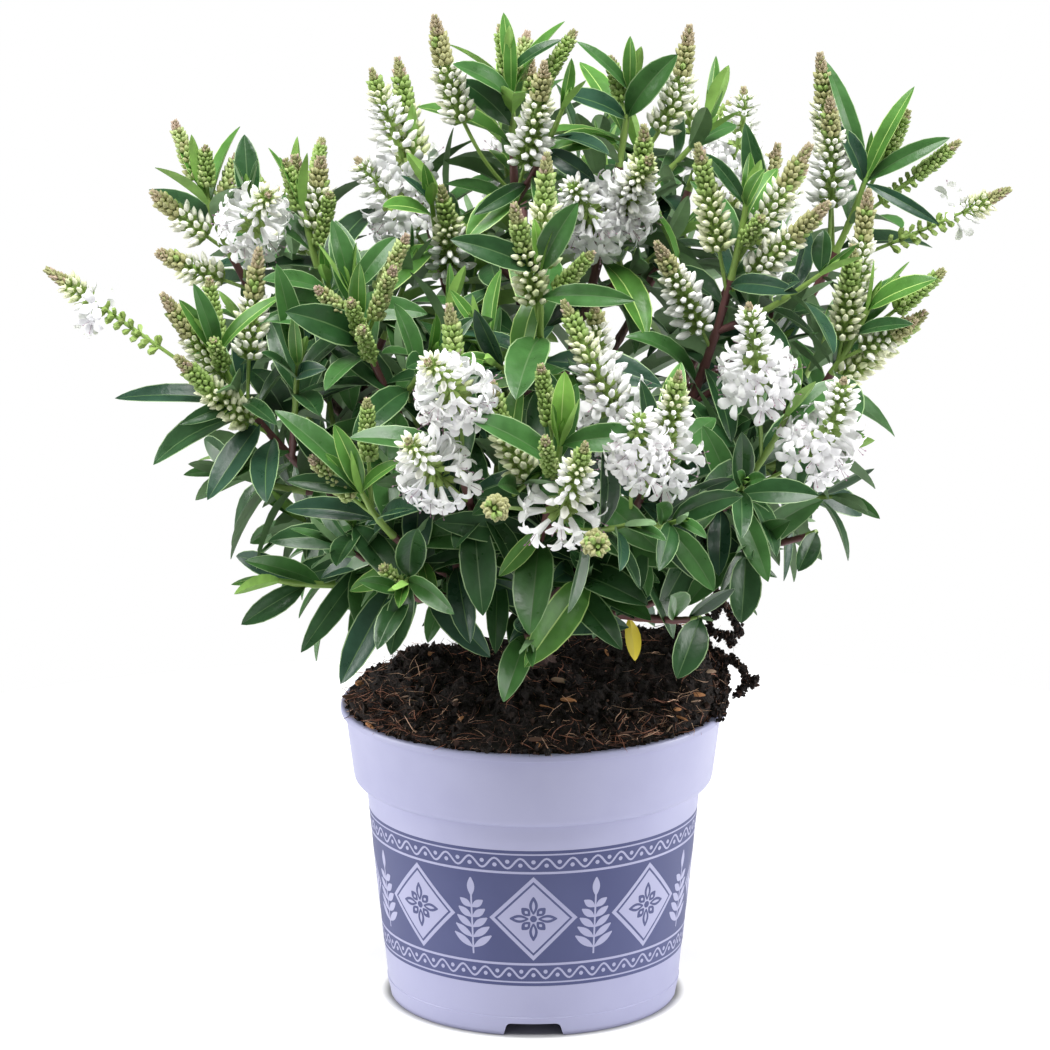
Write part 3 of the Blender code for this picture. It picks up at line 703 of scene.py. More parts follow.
def chip_shape():
    """A split flake of bark, 1 long, with ragged ends."""
    stations = ((-0.5, 0.05, 0.04, 0), (-0.40, 0.12, 0.07, 0.02), (0.02, 0.16, 0.08, 0.05),
                (0.35, 0.11, 0.06, 0.03), (0.5, 0.03, 0.03, 0))
    corners = (0.3, 1.5, 2.8, 3.6, 4.7, 5.9)
    return skinned([[(x, wide * math.cos(a) + 0.05 * x, lift + thick * math.sin(a)) for a in corners]
                    for x, wide, thick, lift in stations], 35)


def brim_spots(count):
    """Fine crumbs that have spilled over the inner edge of the pot's bead, all the way round."""
    chance = random.Random(f"brim {SEED}")
    spots = []
    for _ in range(count):
        turn = chance.uniform(0, 2 * math.pi)
        out = chance.random() ** 1.6
        radius = COMPOST_EDGE + (-1.2 + 3.4 * out) * MM
        place = (radius * math.cos(turn), radius * math.sin(turn), POT_HEIGHT + (0.9 - 0.7 * out) * MM)
        big = chance.uniform(0.7, 1.7) * MM
        spots.append((place, (0, 0, turn), (big, big * 1.3, big * 0.8), chance.choice(CRUMB_TINTS)))
    return spots


def tumbled(chance, tilt):
    """A chance turn, as an Euler: tilted a little and turned any way."""
    return chance.gauss(0, tilt), chance.gauss(0, tilt), chance.uniform(0, 2 * math.pi)


def loose_spots(label, count, size, sink, tilt, at_brim=0.0):
    """Seeded spots on the compost; a share of them keeps to its brim at the front right and the left."""
    chance = random.Random(f"{label} {SEED}")
    spots = []
    while len(spots) < count:
        radius = COMPOST_EDGE * math.sqrt(chance.uniform(0.02, 1.045))
        turn = chance.uniform(0, 2 * math.pi)
        if chance.random() < at_brim:
            radius = COMPOST_EDGE * (1.015 - abs(chance.gauss(0, 0.13)))
            turn = math.radians(chance.choice((chance.gauss(-52, 26), chance.gauss(-150, 20))))
        if radius < 9 * MM:
            continue
        x, y = radius * math.cos(turn), radius * math.sin(turn)
        big = size[0] + (size[1] - size[0]) * chance.random() ** 2.2
        height = crumbly_height(x, y) if radius < COMPOST_EDGE else POT_HEIGHT + 0.5 * MM
        lean = tumbled(chance, tilt)
        squash = (big, big * chance.uniform(0.6, 1), big * chance.uniform(0.6, 1))
        spots.append(((x, y, height + sink * big), lean, squash, chance.choice(CRUMB_TINTS)))
    return spots


# Ragged strings of peat held together by roots, that stand out from the heap: corners in mm.
PEAT_STRINGS = (
    ((84, 12, 178), (89, 12, 190), (93, 11, 197), (98, 12, 191), (101, 12, 184), (102, 13, 180)),
    ((90, 12, 190), (90, 13, 197), (91, 13, 203)), ((88, 10, 183), (93, 9, 181), (98, 8, 181), (98, 8, 176)),
    ((90, 6, 168), (96, 5, 170), (101, 4, 168), (105, 4, 162), (105, 5, 156), (100, 4, 151)),
    ((105, 4, 159), (108, 4, 157), (110, 4, 160)), ((84, 10, 172), (90, 8, 174), (94, 6, 168), (95, 2, 160)),
    (
        (88, -30, 152), (89, -18, 156), (89, -8, 162), (89, 2, 168), (87, 12, 174), (84, 24, 176),
        (82, 36, 170),
    ),
    ((91, -34, 150), (92, -20, 154), (93, -8, 158), (93, 4, 163), (91, 16, 166), (87, 28, 164)),
    ((92, -26, 150), (94, -12, 152), (95, 0, 156), (94, 12, 160), (90, 26, 158)),
)


def string_spots(label, count, size, tilt):
    """Spots all along the strings of peat at the right of the rim."""
    chance = random.Random(f"{label} {SEED}")
    spots = []
    for corners in PEAT_STRINGS:
        for _ in range(count * (len(corners) - 1)):
            along = chance.uniform(0, len(corners) - 1.001)
            first, second = (Vector(corners[int(along) + k]) * MM for k in (0, 1))
            place = first.lerp(second, along % 1) + Vector([chance.gauss(0, 0.9 * MM) for _ in range(3)])
            lean = tumbled(chance, tilt)
            big = chance.uniform(*size)
            spots.append((tuple(place), lean, (big, big * 0.8, big * 0.7), chance.choice(CRUMB_TINTS)))
    return spots


# Larger chips that lie on top: place in mm, turn in degrees, length in mm and tint.
LARGE_CHIPS = ((-85, 10, 62, 11, 1), (-50, 0, 75, 9, 1), (13, -31, -28, 9, 2), (17, -51, -10, 8, 1),
               (87, -9, 40, 8, 2), (80, -30, 25, 9, 1), (70, -46, 60, 7, 1), (2, -86, 10, 9, 0))


def large_chip_spots():
    for x, y, turn, long, tint in LARGE_CHIPS:
        place = (x * MM, y * MM, crumbly_height(x * MM, y * MM) + 1.2 * MM)
        yield place, (0.25, 0.15, math.radians(turn)), (long * MM, long * MM * 1.5, long * MM), tint


soil = peat()
settle(add("compost_top", compost_shell(), soil), "compost", "compost")
crumb_spots = [
    *loose_spots("crumbs", CRUMBS, (0.8 * MM, 3.4 * MM), 0.2, 1.0),
    *string_spots("strings", 60, (0.8 * MM, 2.2 * MM), 1.5),
    *brim_spots(BRIM_CRUMBS),
]
crumb_tints = [
    soil, *plains(0.95, ("Dark crumb", (0.011, 0.007, 0.006)), ("Red crumb", (0.044, 0.022, 0.015))),
]
settle(strewn("compost_crumbs", crumb_shape(), crumb_spots, crumb_tints), "compost", "compost")
fibre_tints = [
    plain("Dark root fibre", (0.045, 0.020, 0.014), 0.85),
    *plains(0.8, ("Red root fibre", (0.300, 0.125, 0.075)), ("Tan root fibre", (0.620, 0.390, 0.260))),
]
for label, bends, thickness in (
    ("bent", ((0, 0), (0.05, 0.03), (0.02, 0.10), (-0.06, 0.08), (-0.04, 0)), 0.013),
    ("hooked", ((0.12, -0.02), (0.02, 0.04), (-0.03, 0.05), (0, 0.12), (0.10, 0.2)), 0.016),
):
    spots = loose_spots(label, FIBRES // 2, (4 * MM, 17 * MM), 0.02, 0.4, at_brim=0.45)
    spots += string_spots(label, 7, (3 * MM, 8 * MM), 1.2)
    fibres = strewn(f"root_fibres_{label}", strand_shape(bends, thickness), spots, fibre_tints)
    settle(fibres, "compost", "compost")
chip_spots = [*loose_spots("chips", CHIPS, (4 * MM, 10 * MM), 0.05, 0.35, at_brim=0.3), *large_chip_spots()]
chip_tints = [
    plain("Brown bark chip", (0.10, 0.048, 0.030), 0.85),
    *plains(0.8, ("Orange bark chip", (0.42, 0.190, 0.075)), ("Pale bark chip", (0.33, 0.22, 0.15))),
]
settle(strewn("bark_chips", chip_shape(), chip_spots, chip_tints), "compost", "compost")


# ---- Trunk and boughs ----
# A short leaning trunk, flared at the compost, whose boughs leave it outwards and turn up. The
# wood is thin, brown and finely furrowed, ringed where the oldest leaves have fallen.

TRUNK_HEIGHT = 50 * MM
TRUNK_LEAN = 4 * MM
TRUNK_RADIUS = 6.6 * MM
# How thick the trunk is as a share of that, by share of its height: flared, then tapering.
TRUNK_SWELL = ((0, 0.07, 0.2, 0.5, 0.8, 1), (1.75, 1.3, 1.05, 1, 0.92, 0.78))
BOUGH_RADIUS = 3.6 * MM
SIDE_BOUGH_SHARE = 0.82
BOUGH_TIP_RADIUS = 1.9 * MM
BEND_OUT = 0.8
BEND_UP = 0.5
LOWEST_FORK = 0.22
HIGHEST_FORK = 0.9
FLATTEST = math.radians(36)
STEEPEST = math.radians(64)
STEM_LENGTH = 108 * MM
STEM_SHARE = 0.66
BARK_STEP = 2.6 * MM
SCAR_SPACING = 15 * MM
SCAR_WIDTH = 1.4 * MM
SCAR_SWELL = 0.16

# Each limb: its parent, how far along it the fork is, and in millimetres its growing point. The
# steeper a limb with no fork given climbs, the higher it leaves the trunk.
LIMBS = {
    "crown_left": ("trunk", 1.0, (-11, -12, 466)),
    "crown_right": ("crown_left", 0.40, (46, -10, 456)),
    "back_crown_left": ("crown_left", 0.30, (-58, 26, 420)),
    "front_upper": ("crown_left", 0.15, (3, -110, 388)),
    "right_mid": ("trunk", None, (159, -50, 358)),
    "right_upper": ("right_mid", 0.30, (100, -62, 410)),
    "low_right_front": ("right_mid", 0.50, (134, -86, 258)),
    "back_right": ("trunk", None, (112, 112, 380)),
    "right_top": ("back_right", 0.35, (160, 8, 408)),
    "back_low_right": ("back_right", 0.45, (140, 55, 262)),
    "right_low_front": ("trunk", None, (118, -116, 322)),
    "front_right": ("trunk", None, (60, -146, 322)),
    "low_front_right": ("front_right", 0.35, (78, -124, 226)),
    "front_left": ("trunk", None, (-38, -148, 326)),
    "front_center": ("front_left", 0.50, (12, -160, 318)),
    "low_front": ("front_left", 0.30, (-2, -128, 216)),
    "left_front": ("front_left", 0.30, (-80, -136, 290)),
    "low_left_front": ("left_front", 0.50, (-62, -142, 244)),
    "left_front_upper": ("trunk", None, (-85, -92, 374)),
    "left_mid": ("trunk", None, (-150, -62, 338)),
    "low_left": ("left_mid", 0.40, (-122, -78, 232)),
    "left_top": ("trunk", None, (-160, 8, 406)),
    "left_upper": ("left_top", 0.40, (-110, -20, 400)),
    "back_left": ("trunk", None, (-118, 100, 384)),
    "back_low_left": ("back_left", 0.45, (-140, 52, 262)),
    "back_upper": ("trunk", None, (-6, 122, 424)),
    "back_crown_right": ("back_upper", 0.45, (86, 62, 430)),
}
MASSES = [f"mass_{name}" for name in LIMBS]
BOUGHS = [f"bough_{name}" for name in LIMBS]


class Line:
    """A bent line with its own length, read by the distance along it."""

    def __init__(self, points):
        self.points = points
        self.marks = [0.0]
        for first, second in zip(points, points[1:]):
            self.marks.append(self.marks[-1] + (second - first).length)
        self.length = self.marks[-1]

    def at(self, distance):
        """The point there and the direction that the line takes."""
        last = len(self.points) - 2
        step = 0
        while step < last and self.marks[step + 1] < distance:
            step += 1
        first, second = self.points[step], self.points[step + 1]
        share = (distance - self.marks[step]) / (self.marks[step + 1] - self.marks[step])
        return first.lerp(second, share), (second - first).normalized()

    def between(self, start, end, count):
        return [self.at(start + (end - start) * n / (count - 1))[0] for n in range(count)]


def bend(start, corner, end, count=24):
    """A curve that leaves the start towards the corner and comes from there to the end."""
    shares = [n / count for n in range(count + 1)]
    return Line([(1 - s) ** 2 * start + 2 * s * (1 - s) * corner + s**2 * end for s in shares])


def across(direction, turn):
    """The unit vector square to a direction, turned about it from the side nearest +X."""
    side = (Vector((1, 0, 0)) - direction * direction.x).normalized()
    return side * math.cos(turn) + direction.cross(side) * math.sin(turn)


def up(height):
    return Vector((0, 0, height))


def limb_lines(trunk):
    """Each limb's line from its fork to its growing point, and the length that is bare bough."""
    found = {}
    for name, (parent, fork, growing_point) in LIMBS.items():
        tip = Vector(growing_point) * MM
        if parent == "trunk":
            climb = math.atan2(tip.z - GROUND, math.hypot(tip.x, tip.y))
            steepness = ramped(climb, FLATTEST, STEEPEST - FLATTEST)
            share = fork or LOWEST_FORK + (HIGHEST_FORK - LOWEST_FORK) * steepness
            start = trunk.at(share * trunk.length)[0]
        else:
            line, bare = found[parent]
            start = line.at(fork * bare)[0]
        way = tip - start
        line = bend(start, start + Vector((BEND_OUT * way.x, BEND_OUT * way.y, BEND_UP * way.z)), tip)
        found[name] = (line, line.length - min(STEM_LENGTH, STEM_SHARE * line.length))
    return found


def furrowed(line, end, radius_at, sides, label):
    """Rings of bark round a line: furrows along it, small knots, and the scars of old leaf pairs."""
    count = max(4, int(end / BARK_STEP))
    rings = []
    for n in range(count + 1):
        distance = end * n / count
        point, onward = line.at(min(distance, line.length))
        beat = (distance / SCAR_SPACING) % 1
        scar = SCAR_SWELL * math.exp(-((min(beat, 1 - beat) * SCAR_SPACING / SCAR_WIDTH) ** 2))
        ring = []
        for side in range(sides):
            turn = 2 * math.pi * side / sides
            spot = Vector((math.cos(turn) * 2.2 + label, math.sin(turn) * 2.2, distance / (9 * MM)))
            rough = 0.13 * noise.noise(spot) + 0.07 * noise.noise(spot * 3.1)
            ring.append(point + across(onward, turn) * radius_at(distance) * (1 + rough + scar))
        rings.append(ring)
    return np.array(rings)


def trunk_radius(distance):
    return TRUNK_RADIUS * np.interp(distance / trunk.length, *TRUNK_SWELL)


def bough_radius(name, bare):
    start = BOUGH_RADIUS * (1 if LIMBS[name][0] == "trunk" else SIDE_BOUGH_SHARE)
    return lambda distance: start + (BOUGH_TIP_RADIUS - start) * distance / bare


def bark():
    """Thin brown bark: fine lengthwise furrows, grey-brown ridges and redder young patches."""
    made, tree, shader = blank("Hebe bark")
    place = wire(tree, "TexCoord", "Object")
    stretched = wire(tree, "Mapping", "Vector", Vector=place, Scale=(900, 900, 170))
    furrows = wire(tree, "TexNoise", "Fac", Vector=stretched, Scale=1, Detail=6, Roughness=0.65)
    patches = wire(tree, "TexNoise", "Fac", Vector=place, Scale=60)
    ridges = ramp(tree, furrows, (0.3, (0.022, 0.012, 0.012)), (0.72, (0.170, 0.110, 0.085)),
                  (0.52, (0.075, 0.036, 0.032)))
    redness = wire(tree, "MapRange", "Result", Value=patches, From_Min=0.45, From_Max=0.75, To_Max=0.7)
    feed(
        shader,
        Base_Color=wire(tree, "Mix", "Result", data_type="RGBA", Factor=redness, A=ridges,
                        B=(0.110, 0.034, 0.040, 1)),
        Roughness=0.72,
        Normal=wire(tree, "Bump", "Normal", Strength=0.7, Distance=0.5 * MM, Height=furrows),
    )
    return made


foot = up(GROUND + GAP)
trunk = bend(foot, foot + up(TRUNK_HEIGHT / 2), foot + Vector((TRUNK_LEAN, 0, TRUNK_HEIGHT)))
lines = limb_lines(trunk)
wood = Joined()
wood.skin(furrowed(trunk, trunk.length, trunk_radius, 20, 0))
for number, (name, (line, bare)) in enumerate(lines.items()):
    wood.skin(furrowed(line, bare + 1 * MM, bough_radius(name, bare), 12, number + 1))
settle(add("trunk_and_boughs", wood.mesh(60), bark()), "bark", "trunk", *BOUGHS)


# ---- Shoots ----
# This year's growth: round, slightly jointed stems at the ends of the boughs, purple-brown where
# they have ripened and bright green towards the growing point. Side shoots fork from each, and
# the lines of its flower spikes start in the axils of its upper leaves.

STEM_RADIUS = 2.5 * MM
SHOOT_TIP_SHARE = 0.6
JOINT_WIDTH = 1.6 * MM
JOINT_SWELL = 0.22
SIDE_SHOOT_ANGLE = math.radians(48)
SIDE_SHOOTS = ((0.14, 52 * MM), (0.40, 50 * MM), (0.03, 44 * MM))  # place on the leader, and length
SHOOT_CLEARS = 20 * MM  # the plant's lower edge
SHOOT_OFF_AXIS = 24 * MM
WIDEST_SHOOT = 168 * MM
GREEN_LENGTH = 34 * MM
# Low shoots in the plant's shade. Their leaves take deeper greens, a painted shade, and less of their stems
# is green.
SHADED = ("low_front", "low_front_right", "low_left_front", "low_right_front")
SHADED_GREEN_SHARE = 0.15
PAIRS_FROM_TIP = (0, 4, 11, 22, 36, 51, 67, 84, 102)
# How low the front of the plant hangs, by distance to the right in mm, as the height that a place
# straight above the trunk would need to look as low. Behind that front, it clears the compost.
LOW_EDGE = (
    (-200, 262), (-152, 240), (-140, 194), (-110, 172), (-88, 165), (-62, 181), (-28, 184), (-11, 155),
    (12, 188), (40, 178), (50, 195), (72, 178), (88, 200), (106, 196), (118, 214), (136, 252), (160, 268),
    (185, 305),
)
FRONT = -35 * MM
BACK_CLEARS = 174 * MM
SLOPE_OF_SIGHT = 0.24


def above_edge(x, y, z):
    """How far places clear the plant's lower edge."""
    hanging = z + SLOPE_OF_SIGHT * y - np.interp(x, *(np.array(LOW_EDGE).T * MM))
    return np.where(y < FRONT, hanging, z - BACK_CLEARS)


def side_shoots_of(name, leader):
    """Shoots that fork from the leader, outwards and upwards."""
    chance = random.Random(f"{name} shoots {SEED}")
    found = []
    for number, (share, long) in enumerate(SIDE_SHOOTS):
        place, direction = leader.at(leader.length * share)
        turn = math.pi * number + chance.uniform(0, math.pi)
        lean = SIDE_SHOOT_ANGLE * chance.uniform(0.85, 1.15)
        length = long * chance.uniform(0.85, 1.2)
        way = direction * math.cos(lean) + across(direction, turn) * math.sin(lean)
        shoot = bend(place, place + way * length * 0.5, place + way * length + up(0.2 * length), 8)
        tip = shoot.points[-1]
        off_axis = math.hypot(*tip.xy)
        if above_edge(*tip) > SHOOT_CLEARS and off_axis > SHOOT_OFF_AXIS and abs(tip.x) < WIDEST_SHOOT:
            found.append(shoot)
    return found


def jointed(line, foot_radius, green):
    """Rings round a shoot, swollen a little where each pair of leaves sits, and their finishes."""
    joints = [line.length - below * MM for below in PAIRS_FROM_TIP[2:]]
    count = max(6, int(line.length / (3 * MM)))
    rings, finishes = [], []
    for n in range(count + 1):
        distance = line.length * n / count
        point, onward = line.at(distance)
        radius = foot_radius * (1 + (SHOOT_TIP_SHARE - 1) * (n / count) ** 1.5)
        near = min(abs(distance - joint) for joint in joints)
        radius *= 1 + JOINT_SWELL * math.exp(-((near / JOINT_WIDTH) ** 2))
        rings.append([point + across(onward, math.pi * side / 4) * radius for side in range(8)])
        finishes.append([1 if line.length - distance < green else 0] * 8)
    return np.array(rings), np.array(finishes[1:])


# Flower spikes that stand where the eye falls, by limb: (right, back, up) of the tip in mm from
# the growing point, how far below that the axil is, the stage, and for some a place to bend by.
SPIKES = {
    "crown_left": (
        (-36, -12, 28, 60, "bud", (-26, -10, -34)), (16, -34, 9, 62, "white", (12, -30, -26)),
        (-5, 12, 20, 20, "tight"), (31, 10, 18, 28, "tight"), (8, 16, 16, 14, "tight"),
    ),
    "crown_right": (
        (28, -6, 32, 44, "bud", (24, -8, -18)), (6, -38, -11, 72, "white", (8, -32, -40)),
        (-9, 6, 15, 14, "tight"), (9, -46, -24, 66, "opening"), (-28, -40, -38, 72, "open"),
    ),
    "back_crown_right": (
        (17, -10, 16, 62, "open", (21, -12, -22)), (-14, 10, 20, 20, "bud"), (12, 24, 4, 40, "white"),
    ),
    "back_crown_left": (
        (-20, -4, 40, 36, "opening"), (-8, 8, 44, 30, "bud"), (-27, -16, -1, 62, "open", (-2, -16, -30)),
        (14, -48, -9, 66, "white", (20, -44, -40)),
    ),
    "front_upper": ((-12, -12, 34, 30, "bud"), (3, 8, 54, 24, "bud"), (24, -4, 10, 18, "tight")),
    "right_upper": (
        (-23, -6, 30, 45, "bud"), (-42, -16, -15, 74, "white"), (30, 6, 28, 30, "bud"),
        (38, -10, 3, 45, "bud"), (7, -16, -2, 22, "tight"),
    ),
    "right_top": (
        (-22, 4, 62, 40, "bud"), (-18, -14, 43, 46, "white"), (21, 4, 35, 20, "tight"),
        (45, -4, 21, 22, "loose"), (68, -18, 0, 46, "spent"),
    ),
    "right_mid": (
        (-8, -6, 31, 32, "bud"), (0, 10, 55, 28, "bud"), (36, 0, 19, 18, "tight"),
        (21, -12, -3, 28, "bud"), (28, 8, -3, 50, "bud"),
    ),
    "right_low_front": ((-19, -16, 55, 30, "open", (-12, -4, 10)), (25, -16, 20, 52, "open", (23, -4, -21))),
    "front_right": (
        (6, -14, 29, 50, "opening", (1, -6, -18)), (-12, -26, 14, 62, "blown", (-17, -14, -30)),
        (-46, 24, 54, 34, "white"), (-32, 30, 52, 36, "opening", (-29, 34, 4)),
    ),
    "front_center": (
        (-31, 14, 26, 36, "bud", (-27, 14, -10)), (11, -26, 6, 60, "opening", (3, -8, -33)),
        (17, -40, -38, 66, "knob", (16, -5, -41)), (-30, -40, -20, 50, "knob", (-29, -5, -27)),
        (-7, -22, 9, 20, "tight", (-5, -12, -11)), (-9, 2, 37, 14, "tight", (-6, 8, 17)),
    ),
    "front_left": (
        (-10, -40, 37, 30, "open", (9, -2, 17)), (-19, -34, -1, 56, "open", (-5, -2, -28)),
        (-1, 20, 50, 20, "bud", (2, 20, 27)),
    ),
    "left_front_upper": (
        (26, 2, 28, 20, "tight"), (20, -10, 15, 25, "tight"), (5, -26, -10, 40, "tight"),
        (-16, -10, 5, 15, "tight"), (0, -22, 2, 30, "tight"),
    ),
    "left_mid": (
        (-80, 2, 41, 34, "spent", (-34, -2, 10)), (-4, 8, 36, 8, "tight"), (-1, -14, 11, 12, "tight"),
        (-25, 0, 29, 25, "bud"), (-18, -18, 3, 50, "bud"), (20, 6, 50, 30, "bud"),
    ),
    "left_top": (
        (2, -4, 20, 8, "tight"), (-14, 8, 31, 15, "tight"), (17, 8, 15, 18, "tight"),
        (-24, 0, -3, 35, "bud"), (-22, -10, -30, 55, "bud"), (35, -64, 9, 50, "open", (22, -28, -12)),
    ),
    "left_upper": ((-9, 4, 24, 10, "tight"), (8, 6, 25, 25, "bud"), (13, -6, 10, 30, "tight")),
    "left_front": ((3, 0, 44, 15, "tight"), (-23, -6, 18, 20, "tight")),
    "low_left_front": ((-8, -4, 13, 8, "tight"),),
}
SEEDED_SPIKES = ("back_right", "back_left", "back_upper")
SEEDED_STAGES = ("tight", "bud", "white", "open")
LEAST_BELOW = 4 * MM
LOWEST_SPIKE = 190 * MM


def spikes_of(name, leader):
    """Each spike on a mass, as (line, stage): the listed ones, or seeded ones round the back."""
    tip = leader.points[-1]
    for right, back, high, below, stage, *by in SPIKES.get(name, ()):
        axil, direction = leader.at(max(LEAST_BELOW, leader.length - below * MM))
        end = tip + Vector((right, back, high)) * MM
        reach = (end - axil).length
        corner = axil.lerp(end, 0.45) + direction * 0.06 * reach - up(0.07 * reach)
        yield bend(axil, tip + Vector(by[0]) * MM if by else corner, end, 12), stage
    if name not in SEEDED_SPIKES:
        return
    chance = random.Random(f"{name} spikes {SEED}")
    for order, stage in enumerate(SEEDED_STAGES):
        axil, direction = leader.at(max(LEAST_BELOW, leader.length - (14 + 13 * order) * MM))
        turn = chance.uniform(0, 0.9) + order * math.radians(137)
        lean = math.radians(30) * chance.uniform(0.75, 1.25)
        reach = (44 + 11 * order) * MM * chance.uniform(0.9, 1.1)
        way = direction * math.cos(lean) + across(direction, turn) * math.sin(lean)
        end = axil + way * reach * 0.9 + up(0.14 * reach)
        low, high = cad_box
        inside = all(low[n] - 4 * MM < end[n] < high[n] + 4 * MM for n in range(3))
        if inside and end.z > LOWEST_SPIKE:
            yield bend(axil, axil + way * reach * 0.5, end, 12), stage


shoots = {}
twigs = Joined()
for name, (line, bare) in lines.items():
    leader = Line(line.between(bare + GAP, line.length, 9))
    shoots[name] = [leader, *side_shoots_of(name, leader)]
    for shoot in shoots[name]:
        thick = STEM_RADIUS * (0.9 if shoot is leader else 0.72)
        green = GREEN_LENGTH * (SHADED_GREEN_SHARE if name in SHADED else 1)
        twigs.skin(*jointed(shoot, thick, green))
stem_tints = (
    plain("Ripened stem", (0.120, 0.045, 0.045), 0.5),
    plain("Green stem", (0.240, 0.370, 0.085), 0.45),
)
settle(add("young_shoots", twigs.mesh(60), *stem_tints), "foliage", *MASSES)
spikes = {name: list(spikes_of(name, shoots[name][0])) for name in shoots}


# ---- Leaves ----
# Lance-shaped leathery leaves in crossed pairs, each a thin folded blade with a sunken midrib, a
# pale margin and a lighter underside. They stand upright round the growing point, open out below
# it and hang a little with age; the colour goes from bright yellow-green to deep green.

# Of each pair from the growing point down: length in mm, opening in degrees, bend in radians.
LEAF_AGES = (
    (15, 4, -0.05), (32, 10, 0.10), (43, 30, 0.45), (51, 48, 0.50), (55, 62, 0.55), (56, 74, 0.60),
    (55, 84, 0.65), (53, 91, 0.65), (51, 97, 0.60), (48, 102, 0.55),
)
LEAF_SLIMNESS = (0.27, 0.35)
LEAF_STATIONS = (0, 0.06, 0.16, 0.29, 0.44, 0.60, 0.75, 0.87, 0.95, 1.0)
LEAF_OUTLINE = (0.15, 0.18, 0.52, 0.83, 0.99, 0.98, 0.82, 0.54, 0.27, 0.02)
TOP_PLACES = np.array((1, 0.93, 0.46, 0.04, -0.04, -0.46, -0.93, -1))
UNDER_PLACES = np.array((-0.55, 0, 0.55))
LEAF_THICKNESS = 0.45 * MM
GROOVE = 0.16 * MM  # the sunken midrib
RIB = 2.1  # how thick the midrib is below, as a share of the blade
LEAF_FOLD = math.radians(23)
BLOTCH_SCALE = 105
# The order of a leaf's finishes: margin, midrib and underside, the young margin and underside, and
# then the blade's greens from the youngest to the oldest.
MARGIN, MIDRIB, UNDERSIDE, YOUNG_MARGIN, YOUNG_UNDERSIDE, FIRST_BLADE = range(6)
SECTORS = {
    "crown": ("crown_left", "crown_right", "back_crown_left", "front_upper"),
    "right": ("right_mid", "right_upper", "low_right_front", "right_low_front", "right_top"),
    "front": ("front_right", "low_front_right", "front_left", "front_center", "low_front", "left_front",
              "low_left_front"),
    "left": ("left_front_upper", "left_mid", "low_left", "left_top", "left_upper"),
    "back": ("back_right", "back_low_right", "back_left", "back_low_left", "back_upper",
             "back_crown_right"),
}


def blade(root, stem, outward, opening, curve, length, slim, droop, roll, tint):
    """The rings of one leaf from its short stalk to its tip, and the finish of each of its sides."""
    stem, outward = np.array(stem), np.array(outward)
    top, under = np.abs(TOP_PLACES), np.abs(UNDER_PLACES)

    def heading(share):
        """The leaf's angle from the stem and its direction at a share of its length."""
        angle = opening + curve * share
        onward = stem * math.cos(angle) + outward * math.sin(angle) + np.array((0, 0, -1.0)) * droop * share
        return angle, onward / np.linalg.norm(onward)

    point = np.array(root)
    before = 0.0
    rings = []
    for t, wide in zip(LEAF_STATIONS, LEAF_OUTLINE):
        point = point + heading((t + before) / 2)[1] * length * (t - before)
        before = t
        angle, onward = heading(t)
        upper = stem * math.sin(angle) - outward * math.cos(angle)
        upper -= onward * upper.dot(onward)
        upper /= np.linalg.norm(upper)
        left = np.cross(upper, onward)
        turn = roll * min(1, 2.5 * t)
        cosine, sine = math.cos(turn), math.sin(turn)
        upper, left = upper * cosine - left * sine, left * cosine + upper * sine
        width = slim * length / 2 * wide
        fold = LEAF_FOLD * (1 - 0.5 * t)
        lift = width * (top * math.sin(fold) + 0.20 * top * (1 - top)) - GROOVE * (top < 0.1)
        thick = LEAF_THICKNESS * np.where(under < 0.1, RIB, 1) * (0.25 + 0.75 * wide)
        depth = width * under * (math.sin(fold) + 0.09) - thick
        places = np.concatenate([TOP_PLACES, UNDER_PLACES]) * width * math.cos(fold)
        rings.append(point + np.outer(places, left) + np.outer(np.concatenate([lift, depth]), upper))
    young = tint <= FIRST_BLADE + 1
    edge = YOUNG_MARGIN if young else MARGIN
    rib = YOUNG_MARGIN if young else MIDRIB
    below = YOUNG_UNDERSIDE if young else UNDERSIDE
    return np.array(rings), np.array([edge, tint, tint, rib, tint, tint, edge, *[below] * 4])


def in_outline(rings, slack):
    """True where a leaf stays inside the plant's box and above its lower edge."""
    corners = rings.reshape(-1, 3)
    low, high = np.array(cad_box[0]) - slack, np.array(cad_box[1]) + slack
    return bool(((corners >= low) & (corners <= high)).all() and above_edge(*corners.T).min() > 0)


